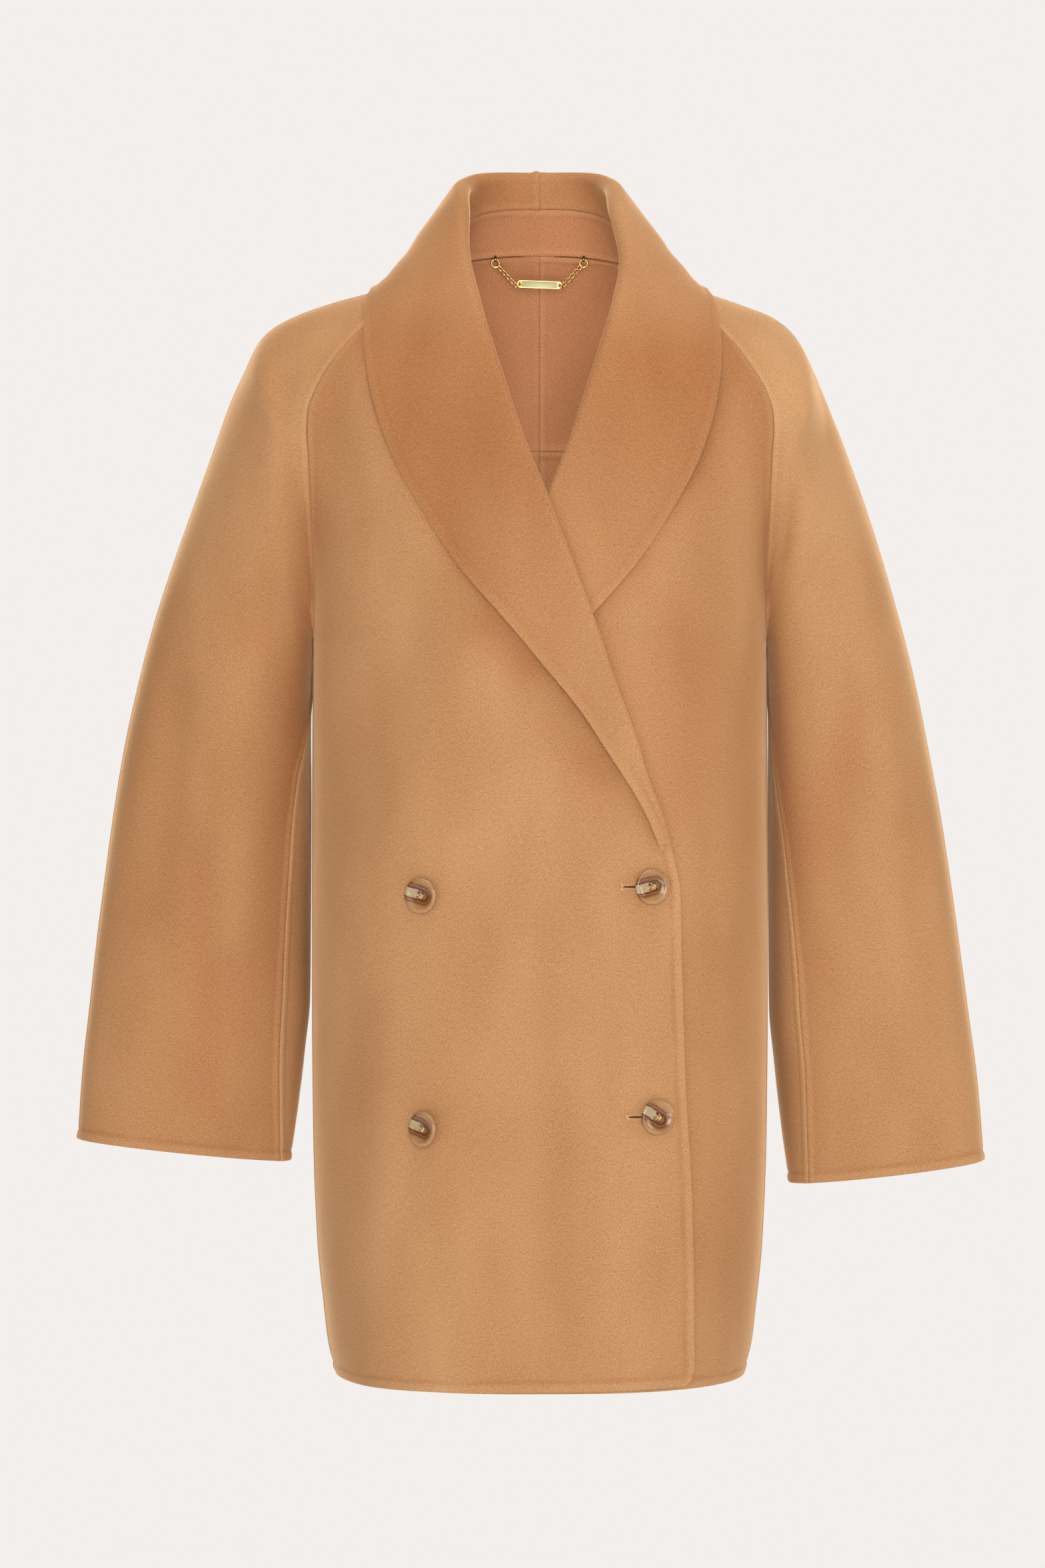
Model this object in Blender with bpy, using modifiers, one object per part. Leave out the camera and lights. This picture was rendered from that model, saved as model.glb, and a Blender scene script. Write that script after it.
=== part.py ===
"""A wool coat, filled out and hollow: shawl collar, raglan sleeves, double-breasted front.

Metres, +Z up. The origin is the middle of the neck base, -Y is the front and +X the wearer's left.
Each cut piece is a wall of cloth lofted through sections of the form. The wearer's right half is
worked out first, with its side seam at -X, and the left half is the same work mirrored.
"""

from math import pi

import bmesh
import bpy
import numpy as np
from mathutils import Matrix, Vector

NAME = "wool_coat"

# Cloth
CLOTH = 0.0024             # wall of the double-face wool
SEAM_GAP = 0.0003          # between cut edges at a seam
LAY_GAP = {"right": 0.0028, "left": 0.0018}   # under each lapel
MITRE_LIMIT = 1.5          # most that a wall thickens in the valley of a seam
WALL_SLANT = 1.4           # level thickness of the back's wall over its true one, at the neck

# Columns of cloth across a piece
FRONT_COLUMNS = 12
BACK_COLUMNS = 7
SLEEVE_COLUMNS = 7
CURL_COLUMNS = 5
FALL_STEPS = (0.12, 0.32, 0.54, 0.77, 1.0)
BAND_COLUMNS = 2
BAND_END = 0.0012          # the neck band stops short of the raglan seam by this much

# Body form
SQUARENESS = 2.35          # 2 is an ellipse
BREAK_Z = -0.438           # where the lapel starts to roll
YOKE_STATION = 7           # the cross seam of the back meets the raglan seam here
NECK_RISE = 0.0065         # centre back neck above its corners
HEM_RISE = 0.0035          # right front edge above the hem
LEFT_EDGE_SHIFT = -0.009   # the left roll line sits this much nearer its own side
LEFT_EDGE_LOW = 0.2        # share of that shift below the break
LEFT_EDGE_FROM = -0.460    # the shift grows from here
LEFT_EDGE_OVER = 0.130     # over this height
SLOPE_REACH = 0.004        # height over which the slope of the form is measured

# Buttons
BUTTON_RADIUS = 0.0127
BUTTON_THICKNESS = 0.0042
BUTTON_DISH_RADIUS = 0.0085
BUTTON_DISH_DEPTH = 0.0010
BUTTON_DISH_SLOPE = 0.0012
BUTTON_RIM_WIDTH = 0.0025
BUTTON_EDGE_ROUND = 0.0008
BUTTON_BACK_RADIUS = 0.0091
BUTTON_HOLE_RADIUS = 0.0011
BUTTON_HOLE_OFFSET = 0.0019
BUTTON_HOLE_SIDES = 8
BUTTON_SIDES = 18
BUTTON_CENTRES = ((-0.084, -0.468), (0.080, -0.462), (-0.084, -0.636), (0.0837, -0.6275))

# Hanger chain
HANGER_X = 0.0337
RING_Z = 0.0096
RING_RADIUS = 0.0030
RING_WIRE = 0.0006
RING_SIDES = 16
TACK_RADIUS = 0.0019
TACK_WIRE = 0.0005
TACK_RAISE = 0.0007
LINK_COUNT = 5
LINK_HALF_LENGTH = 0.00275
LINK_HALF_WIDTH = 0.0013
LINK_WIRE = 0.00042
LINK_PLAY = 0.0003
LINK_SIDES = 10            # corners of a link's or a tack's loop
PLATE_LENGTH = 0.035
PLATE_WIDTH = 0.006
PLATE_THICKNESS = 0.0008
PLATE_BAR = 0.0008         # metal between a slot and the plate's end
PLATE_SLOT = 0.0020
PLATE_CORNER = 0.35        # corner radius of the plate and its slots over their half width
PLATE_CORNER_STEPS = 3


def columns(names, rows):
    """A table as a dictionary of its named columns."""
    return dict(zip(names.split(), np.array(rows, dtype=float).T))


TORSO = columns("z half_width front_depth back_depth", (
    (-0.827, 0.1525, 0.1340, 0.1240),
    (-0.805, 0.1580, 0.1360, 0.1260),
    (-0.780, 0.1610, 0.1365, 0.1260),
    (-0.730, 0.1660, 0.1365, 0.1240),
    (-0.655, 0.1690, 0.1365, 0.1200),
    (-0.550, 0.1700, 0.1360, 0.1160),
    (-0.420, 0.1700, 0.1350, 0.1130),
    (-0.300, 0.1695, 0.1345, 0.1150),
    (-0.250, 0.1705, 0.1320, 0.1170),
    (-0.200, 0.1765, 0.1280, 0.1180),
    (-0.140, 0.1955, 0.1210, 0.1165),
    (-0.115, 0.2060, 0.1170, 0.1140),
    (-0.081, 0.1995, 0.1070, 0.1070),
    (-0.055, 0.1710, 0.0960, 0.0990),
    (-0.020, 0.1270, 0.0750, 0.0850),
    (-0.004, 0.0987, 0.0640, 0.0780),
    (0.0100, 0.0780, 0.0550, 0.0720),
    (0.0165, 0.0700, 0.0520, 0.0690)))

# Rows of the body below the underarm
LOW_ROWS = np.array((-0.827, -0.815, -0.795, -0.760, -0.710, -0.660, -0.610, -0.560, -0.510, -0.467,
                     BREAK_Z, -0.425, -0.408, -0.382, -0.352, -0.320))

# Front edge below the break, visible roll line above it, on the wearer's right
FRONT_EDGE = columns("z x", (
    (-0.827, 0.1065), (-0.809, 0.1095), (-0.765, 0.1095), (-0.686, 0.1080), (-0.606, 0.1037),
    (-0.495, 0.1004), (-0.467, 0.0999), (-0.450, 0.0970), (-0.418, 0.0889), (-0.387, 0.0774),
    (-0.354, 0.0674), (-0.312, 0.0520), (-0.267, 0.0363), (-0.208, 0.0148), (-0.180, 0.0043),
    (-0.144, -0.0100), (-0.096, -0.0256), (-0.045, -0.0413), (-0.010, -0.0490)))

# Inside radius of the rolled fold of each collar half
ROLL = columns("z right left", (
    (-0.438, 0.0014, 0.0009), (-0.400, 0.0016, 0.0009), (-0.250, 0.0019, 0.0009),
    (-0.165, 0.0024, 0.0009), (-0.120, 0.0030, 0.0020), (-0.060, 0.0040, 0.0036),
    (-0.010, 0.0050, 0.0050)))

# Outer edge of the collar for each place on the roll line
FALL = columns("roll_z x z left_shift", (
    (-0.438, 0.0840, -0.4405, -0.002), (-0.425, 0.0815, -0.4285, -0.004),
    (-0.408, 0.0755, -0.4130, -0.005), (-0.387, 0.0655, -0.3940, -0.006),
    (-0.354, 0.0490, -0.3680, -0.007), (-0.312, 0.0290, -0.3370, -0.008),
    (-0.267, 0.0000, -0.3010, -0.008), (-0.232, -0.0240, -0.2720, -0.008),
    (-0.180, -0.0630, -0.2250, -0.009), (-0.144, -0.0850, -0.1910, -0.009),
    (-0.096, -0.1085, -0.1470, -0.008), (-0.045, -0.1225, -0.1050, -0.006),
    (-0.010, -0.1295, -0.0660, -0.004)))

# The collar round the neck: its fold and its outer edge from the front neck (0) to centre back (1)
NECK = columns("along fold_x fold_y fold_z edge_x edge_y edge_z band left_shift", (
    (0.10, -0.0560, -0.0500, 0.0180, -0.1300, -0.0670, -0.0480, 0.14, -0.0035),
    (0.20, -0.0585, -0.0340, 0.0380, -0.1280, -0.0480, -0.0325, 0.22, 0.0005),
    (0.30, -0.0598, -0.0140, 0.0520, -0.1245, -0.0270, -0.0210, 0.36, 0.0030),
    (0.42, -0.0595, 0.0100, 0.0620, -0.1210, 0.0080, -0.0160, 0.48, 0.0035),
    (0.56, -0.0545, 0.0330, 0.0695, -0.1135, 0.0360, -0.0165, 0.56, 0.0035),
    (0.70, -0.0435, 0.0505, 0.0750, -0.0970, 0.0620, -0.0175, 0.60, 0.0025),
    (0.85, -0.0235, 0.0640, 0.0775, -0.0550, 0.0830, -0.0175, 0.62, 0.0010),
    (1.00, 0.0000, 0.0685, 0.0778, 0.0000, 0.0905, -0.0175, 0.62, 0.0)))
EDGE_SHARE = 0.5           # share of the left shift that reaches the outer edge
NECK_TURN = 0.25           # share of the neck over which the fold turns from upright to level
FALL_CLEAR = 1.02          # the fall of the collar stays outside the body form by this factor
CLEAR_FADE = 0.010         # and no more above the neck, from this far under its top to this far over it
FALL_BOW = -0.001          # outward bow of the fall at the neck

# Lift of the right front over the left front, and more over the left lapel
LIFT = columns("z front lapel ramp", (
    (-0.827, 0.0034, 0.0, 0.034), (-0.700, 0.0034, 0.0, 0.045), (-0.510, 0.0034, 0.0, 0.050),
    (-0.460, 0.0036, 0.0050, 0.055), (-0.165, 0.0036, 0.0052, 0.065), (-0.130, 0.0026, 0.0022, 0.065),
    (-0.090, 0.0006, 0.0002, 0.065), (-0.050, 0.0, 0.0, 0.065)))
LIFT_START = 0.012         # the lift is full this far outside the left front's edge
LIFT_FADE = 0.050          # distance over which the lapel's share dies away again

# Raglan part of each sleeve: front and back seam places and the ridge over the arm
RAGLAN = columns("front_x front_z back_x back_z right_x right_z left_x left_z ridge_y off_body", (
    (0.0820, -0.010, 0.0600, 0.010, 0.0820, 0.0050, 0.0820, 0.0050, 0.000, 0.0),
    (0.1010, -0.025, 0.0800, -0.006, 0.1050, -0.0100, 0.1040, -0.0110, 0.000, 0.0),
    (0.1180, -0.040, 0.1020, -0.022, 0.1270, -0.0205, 0.1250, -0.0210, 0.000, 0.0),
    (0.1350, -0.057, 0.1230, -0.040, 0.1525, -0.0275, 0.1470, -0.0285, 0.001, 0.0),
    (0.1520, -0.078, 0.1420, -0.060, 0.1815, -0.0375, 0.1730, -0.0385, 0.002, 0.0),
    (0.1650, -0.100, 0.1570, -0.082, 0.2005, -0.0475, 0.1870, -0.0485, 0.004, 0.0),
    (0.1700, -0.115, 0.1680, -0.106, 0.2105, -0.0575, 0.1955, -0.0595, 0.005, 0.0),
    (0.1710, -0.130, 0.1730, -0.130, 0.2160, -0.0675, 0.2010, -0.0700, 0.006, 0.0),
    (0.1700, -0.150, 0.1745, -0.155, 0.2205, -0.0775, 0.2060, -0.0810, 0.008, 0.0),
    (0.1690, -0.190, 0.1735, -0.190, 0.2335, -0.1050, 0.2170, -0.1070, 0.010, 0.0004),
    (0.1675, -0.230, 0.1710, -0.230, 0.2420, -0.1300, 0.2270, -0.1310, 0.012, 0.0006),
    (0.1680, -0.262, 0.1690, -0.262, 0.2510, -0.1550, 0.2360, -0.1550, 0.014, 0.0008),
    (0.1710, -0.290, 0.1710, -0.290, 0.2605, -0.1800, 0.2455, -0.1800, 0.016, 0.0010)))

# Tube of each sleeve: its inner side, its ridge and half its depth
TUBE = columns("inner_x right_inner_z right_x right_z left_inner_z left_x left_z inner_y ridge_y "
               "right_depth left_depth right_seam left_seam", (
    (0.1715, -0.315, 0.2695, -0.205, -0.3150, 0.2540, -0.206, 0.010, 0.018, 0.069, 0.070, 0.010, 0.010),
    (0.1722, -0.355, 0.2880, -0.255, -0.3570, 0.2690, -0.257, 0.020, 0.020, 0.070, 0.072, 0.095, 0.080),
    (0.1727, -0.395, 0.3005, -0.305, -0.3980, 0.2820, -0.308, 0.028, 0.022, 0.068, 0.072, 0.165, 0.130),
    (0.1730, -0.430, 0.3120, -0.355, -0.4350, 0.2920, -0.358, 0.032, 0.024, 0.065, 0.070, 0.188, 0.174),
    (0.1732, -0.465, 0.3205, -0.405, -0.4720, 0.3015, -0.408, 0.034, 0.025, 0.061, 0.067, 0.198, 0.199),
    (0.1735, -0.505, 0.3275, -0.455, -0.5130, 0.3095, -0.459, 0.035, 0.026, 0.058, 0.064, 0.209, 0.222),
    (0.1740, -0.548, 0.3340, -0.505, -0.5570, 0.3165, -0.510, 0.035, 0.026, 0.054, 0.061, 0.214, 0.236),
    (0.1780, -0.590, 0.3395, -0.555, -0.6010, 0.3235, -0.562, 0.035, 0.026, 0.049, 0.057, 0.204, 0.233),
    (0.1830, -0.632, 0.3450, -0.605, -0.6460, 0.3305, -0.616, 0.034, 0.026, 0.044, 0.052, 0.172, 0.213),
    (0.1890, -0.673, 0.3485, -0.656, -0.6895, 0.3350, -0.672, 0.033, 0.026, 0.038, 0.046, 0.125, 0.185)))
CAP_REACH = (0.36, 0.61)   # handle length of a raglan section as a share of its chord, top and bottom
TUBE_REACH = 4 / 3         # handle length that gives a half tube its depth

# Soft folds pressed into the front of the sleeves, by station down the sleeve and place across it
SLEEVE_FOLDS = columns("left station across length width slant depth", (
    (1, 9.5, 0.62, 2.6, 0.16, -0.070, 0.0060),
    (1, 13.5, 0.45, 2.2, 0.15, -0.050, 0.0030),
    (0, 9.0, 0.42, 2.4, 0.15, 0.030, 0.0045),
    (0, 16.0, 0.60, 2.6, 0.18, -0.040, 0.0025)))
FOLD_MARGIN = 0.2          # share of the panel beside each seam where folds die away

COLOURS = {
    "wool": ((0.47, 0.27, 0.12, 1.0), 0.9, 0.0),
    "horn": ((0.20, 0.09, 0.04, 1.0), 0.25, 0.0),
    "thread": ((0.55, 0.35, 0.18, 1.0), 0.8, 0.0),
    "brass": ((0.80, 0.58, 0.25, 1.0), 0.25, 1.0)}


def unit(vectors):
    """The same directions with length one."""
    return vectors / np.linalg.norm(vectors, axis=-1, keepdims=True)


def dot(first, second):
    """Dot products along the last axis, kept as a column."""
    return np.sum(first * second, axis=-1, keepdims=True)


def ease(share):
    """Smooth step from 0 to 1."""
    share = np.clip(share, 0.0, 1.0)
    return share * share * (3 - 2 * share)


def curve(at, xs, ys):
    """Values of the smooth curve through the points (xs, ys), without overshoot."""
    at = np.clip(at, xs[0], xs[-1])
    steps = np.diff(xs)
    slopes = np.diff(ys) / steps
    before, after = slopes[:-1], slopes[1:]
    same_way = before * after > 0
    middle = np.where(same_way, 2 * before * after / np.where(same_way, before + after, 1.0), 0.0)
    tangents = np.concatenate((slopes[:1], middle, slopes[-1:]))
    i = np.clip(np.searchsorted(xs, at, side="right") - 1, 0, len(steps) - 1)
    t = (at - xs[i]) / steps[i]
    ends = (1 + 2 * t) * (1 - t) ** 2 * ys[i] + t * t * (3 - 2 * t) * ys[i + 1]
    return ends + steps[i] * t * (1 - t) * ((1 - t) * tangents[i] - t * tangents[i + 1])


def points(x, y, z):
    """Coordinates joined into an array of points."""
    return np.stack(np.broadcast_arrays(x, y, z), axis=-1).astype(float)


def depth_name(face):
    """Name of the depth column of the front (-1) or back (+1) of the body form."""
    return "front_depth" if face < 0 else "back_depth"


def body_angle(x, z):
    """Angle round the body form, 0 at its middle, of the place at x."""
    share = np.clip(np.abs(x) / curve(z, TORSO["z"], TORSO["half_width"]), 0.0, 1.0)
    return np.sign(x) * np.arcsin(share ** (SQUARENESS / 2))


def body(angle, z, face):
    """Points of the body form's front (face -1) or back (face +1)."""
    half_width = curve(z, TORSO["z"], TORSO["half_width"])
    depth = curve(z, TORSO["z"], TORSO[depth_name(face)])
    sine, cosine = np.sin(angle), np.abs(np.cos(angle))
    x = half_width * np.sign(sine) * np.abs(sine) ** (2 / SQUARENESS)
    return points(x, face * depth * cosine ** (2 / SQUARENESS), z)


def body_normal(at, face):
    """Outward directions of the body form at points on it."""
    x, y, z = np.moveaxis(at, -1, 0)
    parts = []
    slope = 0.0
    for value, column in ((x, "half_width"), (y, depth_name(face))):
        size = curve(z, TORSO["z"], TORSO[column])
        above = curve(z + SLOPE_REACH, TORSO["z"], TORSO[column])
        below = curve(z - SLOPE_REACH, TORSO["z"], TORSO[column])
        growth = (above - below) / (2 * SLOPE_REACH)
        share = np.abs(value) / size
        sign = np.sign(value) if column == "half_width" else face
        parts.append(sign * share ** (SQUARENESS - 1) / size)
        slope = slope - share ** SQUARENESS * growth / size
    return unit(points(parts[0], parts[1], slope))


def left_shift(z):
    """Sideways shift of the left front's edge and roll line."""
    grown = ease((z - LEFT_EDGE_FROM) / LEFT_EDGE_OVER)
    return LEFT_EDGE_SHIFT * (LEFT_EDGE_LOW + (1 - LEFT_EDGE_LOW) * grown)


def edge_x(z, half):
    """Visible front edge or roll line of one half."""
    shift = left_shift(z) if half == "left" else 0.0
    return curve(z, FRONT_EDGE["z"], FRONT_EDGE["x"]) + shift


def panel_edge_x(z, half):
    """Where a front's own cloth ends: its edge, or the start of the rolled fold."""
    fold = np.where(z >= BREAK_Z, curve(z, ROLL["z"], ROLL[half]) + CLOTH, 0.0)
    return edge_x(z, half) - fold


def overlap_lift(x, z):
    """How far the right front stands off the body form, over the left front."""
    start = -edge_x(z, "left") - LIFT_START
    ramp = curve(z, LIFT["z"], LIFT["ramp"])
    grown = ease((x - start + ramp) / ramp)
    lapel_end = -curve(z, FALL["z"], FALL["x"] + FALL["left_shift"])
    faded = 1 - ease((x - lapel_end - LIFT_START) / LIFT_FADE)
    front = curve(z, LIFT["z"], LIFT["front"])
    return grown * (front + faded * curve(z, LIFT["z"], LIFT["lapel"]))


def front_shell(x, z, half, height=0.0):
    """Points of a front at x and z, moved out by a height."""
    at = body(body_angle(x, z), z, -1)
    lift = overlap_lift(x, z) if half == "right" else 0.0
    return at + body_normal(at, -1) * np.expand_dims(lift + height, -1)


def front_grid(half):
    """Outer points of a front: rows up from the hem, columns from the side to the front edge."""
    z = np.concatenate((LOW_ROWS, RAGLAN["front_z"][::-1]))[:, None]
    share = np.linspace(0, 1, FRONT_COLUMNS + 1)[None, :]
    seam_x = np.concatenate((np.full(len(LOW_ROWS), np.inf), RAGLAN["front_x"][::-1]))[:, None]
    side = body_angle(-seam_x, z)
    front = body_angle(panel_edge_x(z, half), z)
    angle = side + (front - side) * share
    z = z + np.zeros_like(angle)
    if half == "right":
        z[0] += HEM_RISE * share[0] ** 2
    x = body(angle, z, -1)[..., 0]
    return front_shell(x, z, half)


def back_grid():
    """Outer points of half the back: rows up from the hem, columns from centre back to the side."""
    z = np.concatenate((LOW_ROWS, RAGLAN["back_z"][::-1]))[:, None]
    share = np.linspace(0, 1, BACK_COLUMNS + 1)[None, :]
    seam_x = np.concatenate((np.full(len(LOW_ROWS), np.inf), RAGLAN["back_x"][::-1]))[:, None]
    angle = body_angle(-seam_x, z) * share
    z = z + np.zeros_like(angle)
    z[-1] += NECK_RISE * (1 - share[0] ** 2)
    return body(angle, z, 1)


def raglan_seam(face):
    """Points of the raglan seam on the front or back of the body form, from the neck down."""
    name = "front" if face < 0 else "back"
    return body(body_angle(-RAGLAN[name + "_x"], RAGLAN[name + "_z"]), RAGLAN[name + "_z"], face)


def sleeve_handles(half, face):
    """Bezier points of the front or back half of each sleeve section, from inner side to ridge."""
    seam = raglan_seam(face)
    seam = seam + body_normal(seam, face) * RAGLAN["off_body"][:, None]
    ridge = points(-RAGLAN[half + "_x"], RAGLAN["ridge_y"], RAGLAN[half + "_z"])
    chord = ridge - seam
    length = np.linalg.norm(chord, axis=1, keepdims=True)
    share = np.linspace(0, 1, len(seam))[:, None]
    outward = points(-np.cos(share * pi / 2), face * np.sin(share * pi / 2), 0.0)[:, 0]
    leave = unit((1 - share) * chord / length + share * outward)
    reach = length * (CAP_REACH[0] + (CAP_REACH[1] - CAP_REACH[0]) * share ** 3)
    across = np.array((0.0, face, 0.0))
    cap = np.stack((seam, seam + leave * reach, ridge + across * reach, ridge), axis=1)
    inner = points(-TUBE["inner_x"], TUBE["inner_y"], TUBE[half + "_inner_z"])
    outer = points(-TUBE[half + "_x"], TUBE["ridge_y"], TUBE[half + "_z"])
    depth = across * TUBE_REACH * TUBE[half + "_depth"][:, None]
    tube = np.stack((inner, inner + depth, outer + depth, outer), axis=1)
    return np.concatenate((cap, tube))


def bezier(handles, t):
    """Points at t on the curve of each row of handles."""
    t = t[..., None]
    a, b, c, d = (handles[:, i, None, :] for i in range(4))
    return (1 - t) ** 3 * a + 3 * t * (1 - t) ** 2 * b + 3 * t * t * (1 - t) * c + t ** 3 * d


def press_folds(grid, half):
    """The front panel of a sleeve with its soft folds pressed in."""
    station = np.arange(len(grid))[:, None]
    across = np.linspace(0, 1, grid.shape[1])[None, :]
    depth = np.zeros(grid.shape[:2])
    for i, left in enumerate(SLEEVE_FOLDS["left"]):
        if bool(left) != (half == "left"):
            continue
        down = station - SLEEVE_FOLDS["station"][i]
        place = across - SLEEVE_FOLDS["across"][i] - SLEEVE_FOLDS["slant"][i] * down
        along = np.exp(-(down / SLEEVE_FOLDS["length"][i]) ** 2)
        depth += SLEEVE_FOLDS["depth"][i] * along * np.exp(-(place / SLEEVE_FOLDS["width"][i]) ** 2)
    depth *= ease(across / FOLD_MARGIN) * ease((1 - across) / FOLD_MARGIN)
    return grid + points(0.0, 1.0, 0.0) * depth[..., None]


def sleeve_grids(half):
    """Outer points of a sleeve's two panels: rows down the sleeve, columns round it."""
    front, back = sleeve_handles(half, -1), sleeve_handles(half, 1)
    seam = np.concatenate((np.zeros(len(RAGLAN["front_x"])), TUBE[half + "_seam"]))[:, None]
    share = np.linspace(0, 1, SLEEVE_COLUMNS + 1)[None, :]
    front_panel = bezier(front, seam + (1 - seam) * share)
    round_back = (1 + seam) * share
    back_panel = np.where((round_back <= 1)[..., None],
                          bezier(back, 1 - np.minimum(round_back, 1)),
                          bezier(front, np.maximum(round_back - 1, 0)))
    return press_folds(front_panel, half), back_panel


def neck_ring(front, sleeves, back):
    """Outer points of the neckline from the front neck to centre back."""
    return np.concatenate((front[-1, ::-1], sleeves[0][0, 1:], sleeves[1][0, 1:], back[-1, -2::-1]))


def along_ring(ring):
    """Share of the way along a line of points."""
    length = np.concatenate(((0.0,), np.cumsum(np.linalg.norm(np.diff(ring, axis=0), axis=1))))
    return length / length[-1]


def clear_of_body(at):
    """Points pushed out of the body form where they come too close."""
    x, y, z = np.moveaxis(at, -1, 0)
    wide = np.abs(x) / curve(z, TORSO["z"], TORSO["half_width"])
    front = curve(z, TORSO["z"], TORSO["front_depth"])
    back = curve(z, TORSO["z"], TORSO["back_depth"])
    deep = np.abs(y) / np.where(y < 0, front, back)
    size = (wide ** SQUARENESS + deep ** SQUARENESS) ** (1 / SQUARENESS)
    low = ease((TORSO["z"][-1] + CLEAR_FADE - z) / (2 * CLEAR_FADE))
    push = 1 + (np.maximum(FALL_CLEAR / size, 1.0) - 1) * low
    return points(x * push, y * push, z)


def curl(start, up, out, radius, end_angle):
    """Points round a rolled fold that starts along `up` and turns towards `out`."""
    angle = np.linspace(0, 1, CURL_COLUMNS + 1)[None, :, None] * end_angle[:, None, None]
    radius = radius[:, None, None]
    return (start[:, None] + up[:, None] * radius * np.sin(angle)
            + out[:, None] * radius * (1 - np.cos(angle)))


def lapel_grid(half, front):
    """Under side of the collar on the front: it rolls off the panel's edge and lies on the panel."""
    start = front[len(LOW_ROWS[LOW_ROWS < BREAK_Z]):, -1]
    z = start[:, 2]
    x = start[:, 0]
    out = body_normal(start, -1)
    line = np.gradient(start, axis=0)
    up = unit(np.cross(line, out))
    radius = curve(z, ROLL["z"], ROLL[half])
    rolled = curl(start, up, out, radius, np.full(len(z), pi))
    shift = FALL["left_shift"] if half == "left" else 0.0
    edge_at = curve(z, FALL["roll_z"], FALL["x"] + shift)
    edge_z = curve(z, FALL["roll_z"], FALL["z"])
    share = np.array(FALL_STEPS)[None, :]
    height = LAY_GAP[half] + (2 * radius[:, None] - LAY_GAP[half]) * (1 - share) ** 2
    fall = front_shell(x[:, None] + (edge_at - x)[:, None] * share,
                       z[:, None] + (edge_z - z)[:, None] * share, half, height)
    return np.concatenate((rolled, fall), axis=1), up[-1], out[-1]


def neck_collar_grid(half, ring, lapel, up_front, out_front, band_start):
    """Under side of the collar round the neck, and the height of the neck band at each place."""
    along = along_ring(ring)
    up_front, out_front = up_front[None], out_front[None]
    radius = np.full(len(ring), ROLL[half][-1])
    first_fold = ring[0] + (up_front[0] + out_front[0]) * radius[0]
    place = np.concatenate(((0.0,), NECK["along"]))

    def ring_of(name, first, shift):
        line = np.stack([NECK[name + "_" + axis] for axis in "xyz"])
        if half == "left":
            line[0] += NECK["left_shift"] * shift
        return np.stack([curve(along, place, np.concatenate(((begin,), values)))
                         for begin, values in zip(first, line)], axis=1)

    fold = ring_of("fold", first_fold, 1.0)
    edge = ring_of("edge", lapel[-1, -1], EDGE_SHARE)
    turn = ease(along / NECK_TURN)[:, None]
    away = edge - fold
    away[:, 2] = 0.0
    out = unit((1 - turn) * out_front + turn * unit(away))
    up = (1 - turn) * up_front + turn * np.array(((0.0, 0.0, 1.0),))
    up = unit(up - out * dot(up, out))
    stand_top = fold - (up + out) * radius[:, None]
    band = np.where(np.arange(len(ring)) >= band_start, curve(along, NECK["along"], NECK["band"]), 0.0)
    start = ring + (stand_top - ring) * band[:, None]
    down = edge - fold
    end_angle = np.arctan2(dot(down, out), dot(down, up))[:, 0]
    end_angle = np.where(end_angle < 0, pi, end_angle)
    end_angle = pi + (end_angle - pi) * turn[:, 0]
    rolled = curl(stand_top, up, out, radius, end_angle)
    rolled[:, 0] = start
    share = np.array(FALL_STEPS)[None, :, None]
    fall = rolled[:, -1:] + (edge[:, None] - rolled[:, -1:]) * share
    fall += out[:, None] * FALL_BOW * np.sin(pi * share) ** 2 * turn[:, None]
    fall = clear_of_body(fall)
    return np.concatenate((rolled, fall), axis=1), start


def mirrored(grid):
    """The same points on the other side of the body."""
    return grid * np.array((-1.0, 1.0, 1.0))


def cloth_grids():
    """Every piece of cloth as (points, whether its rows and columns are mirrored)."""
    pieces = {}
    band = {}
    back = back_grid()
    yoke = len(back) - 1 - YOKE_STATION
    for half in ("right", "left"):
        front = front_grid(half)
        sleeves = sleeve_grids(half)
        ring = neck_ring(front, sleeves, back)
        lapel, up, out = lapel_grid(half, front)
        collar, band_top = neck_collar_grid(half, ring, lapel, up, out, FRONT_COLUMNS)
        band[half] = (ring[FRONT_COLUMNS:], band_top[FRONT_COLUMNS:])
        made = {
            "front": front,
            "back_upper": back[yoke:],
            "back_lower": back[:yoke + 1],
            "sleeve_front": sleeves[0],
            "sleeve_back": sleeves[1],
            "collar": np.concatenate((lapel, collar[1:]))}
        for name, grid in made.items():
            flip = half == "left"
            pieces[name + "_" + half] = (mirrored(grid) if flip else grid, flip)
    share = np.linspace(0, 1, BAND_COLUMNS + 1)[None, :, None]
    halves = [low[:, None] + (top - low)[:, None] * share for low, top in band.values()]
    pieces["neck_band"] = (np.concatenate((halves[0], mirrored(halves[1])[-2::-1])), False)
    return pieces


def face_normals(grid, flip):
    """Outward normals of a grid's four-sided faces, as long as their areas."""
    across = grid[1:, 1:] - grid[:-1, :-1]
    other = grid[1:, :-1] - grid[:-1, 1:]
    return np.cross(across, other) * (-0.5 if flip else 0.5)


def corner_keys(grid):
    """A key for the place of each point, the same for points that meet at a seam."""
    return [[tuple(key) for key in row] for row in np.round(grid * 1e6).astype(int).tolist()]


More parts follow.
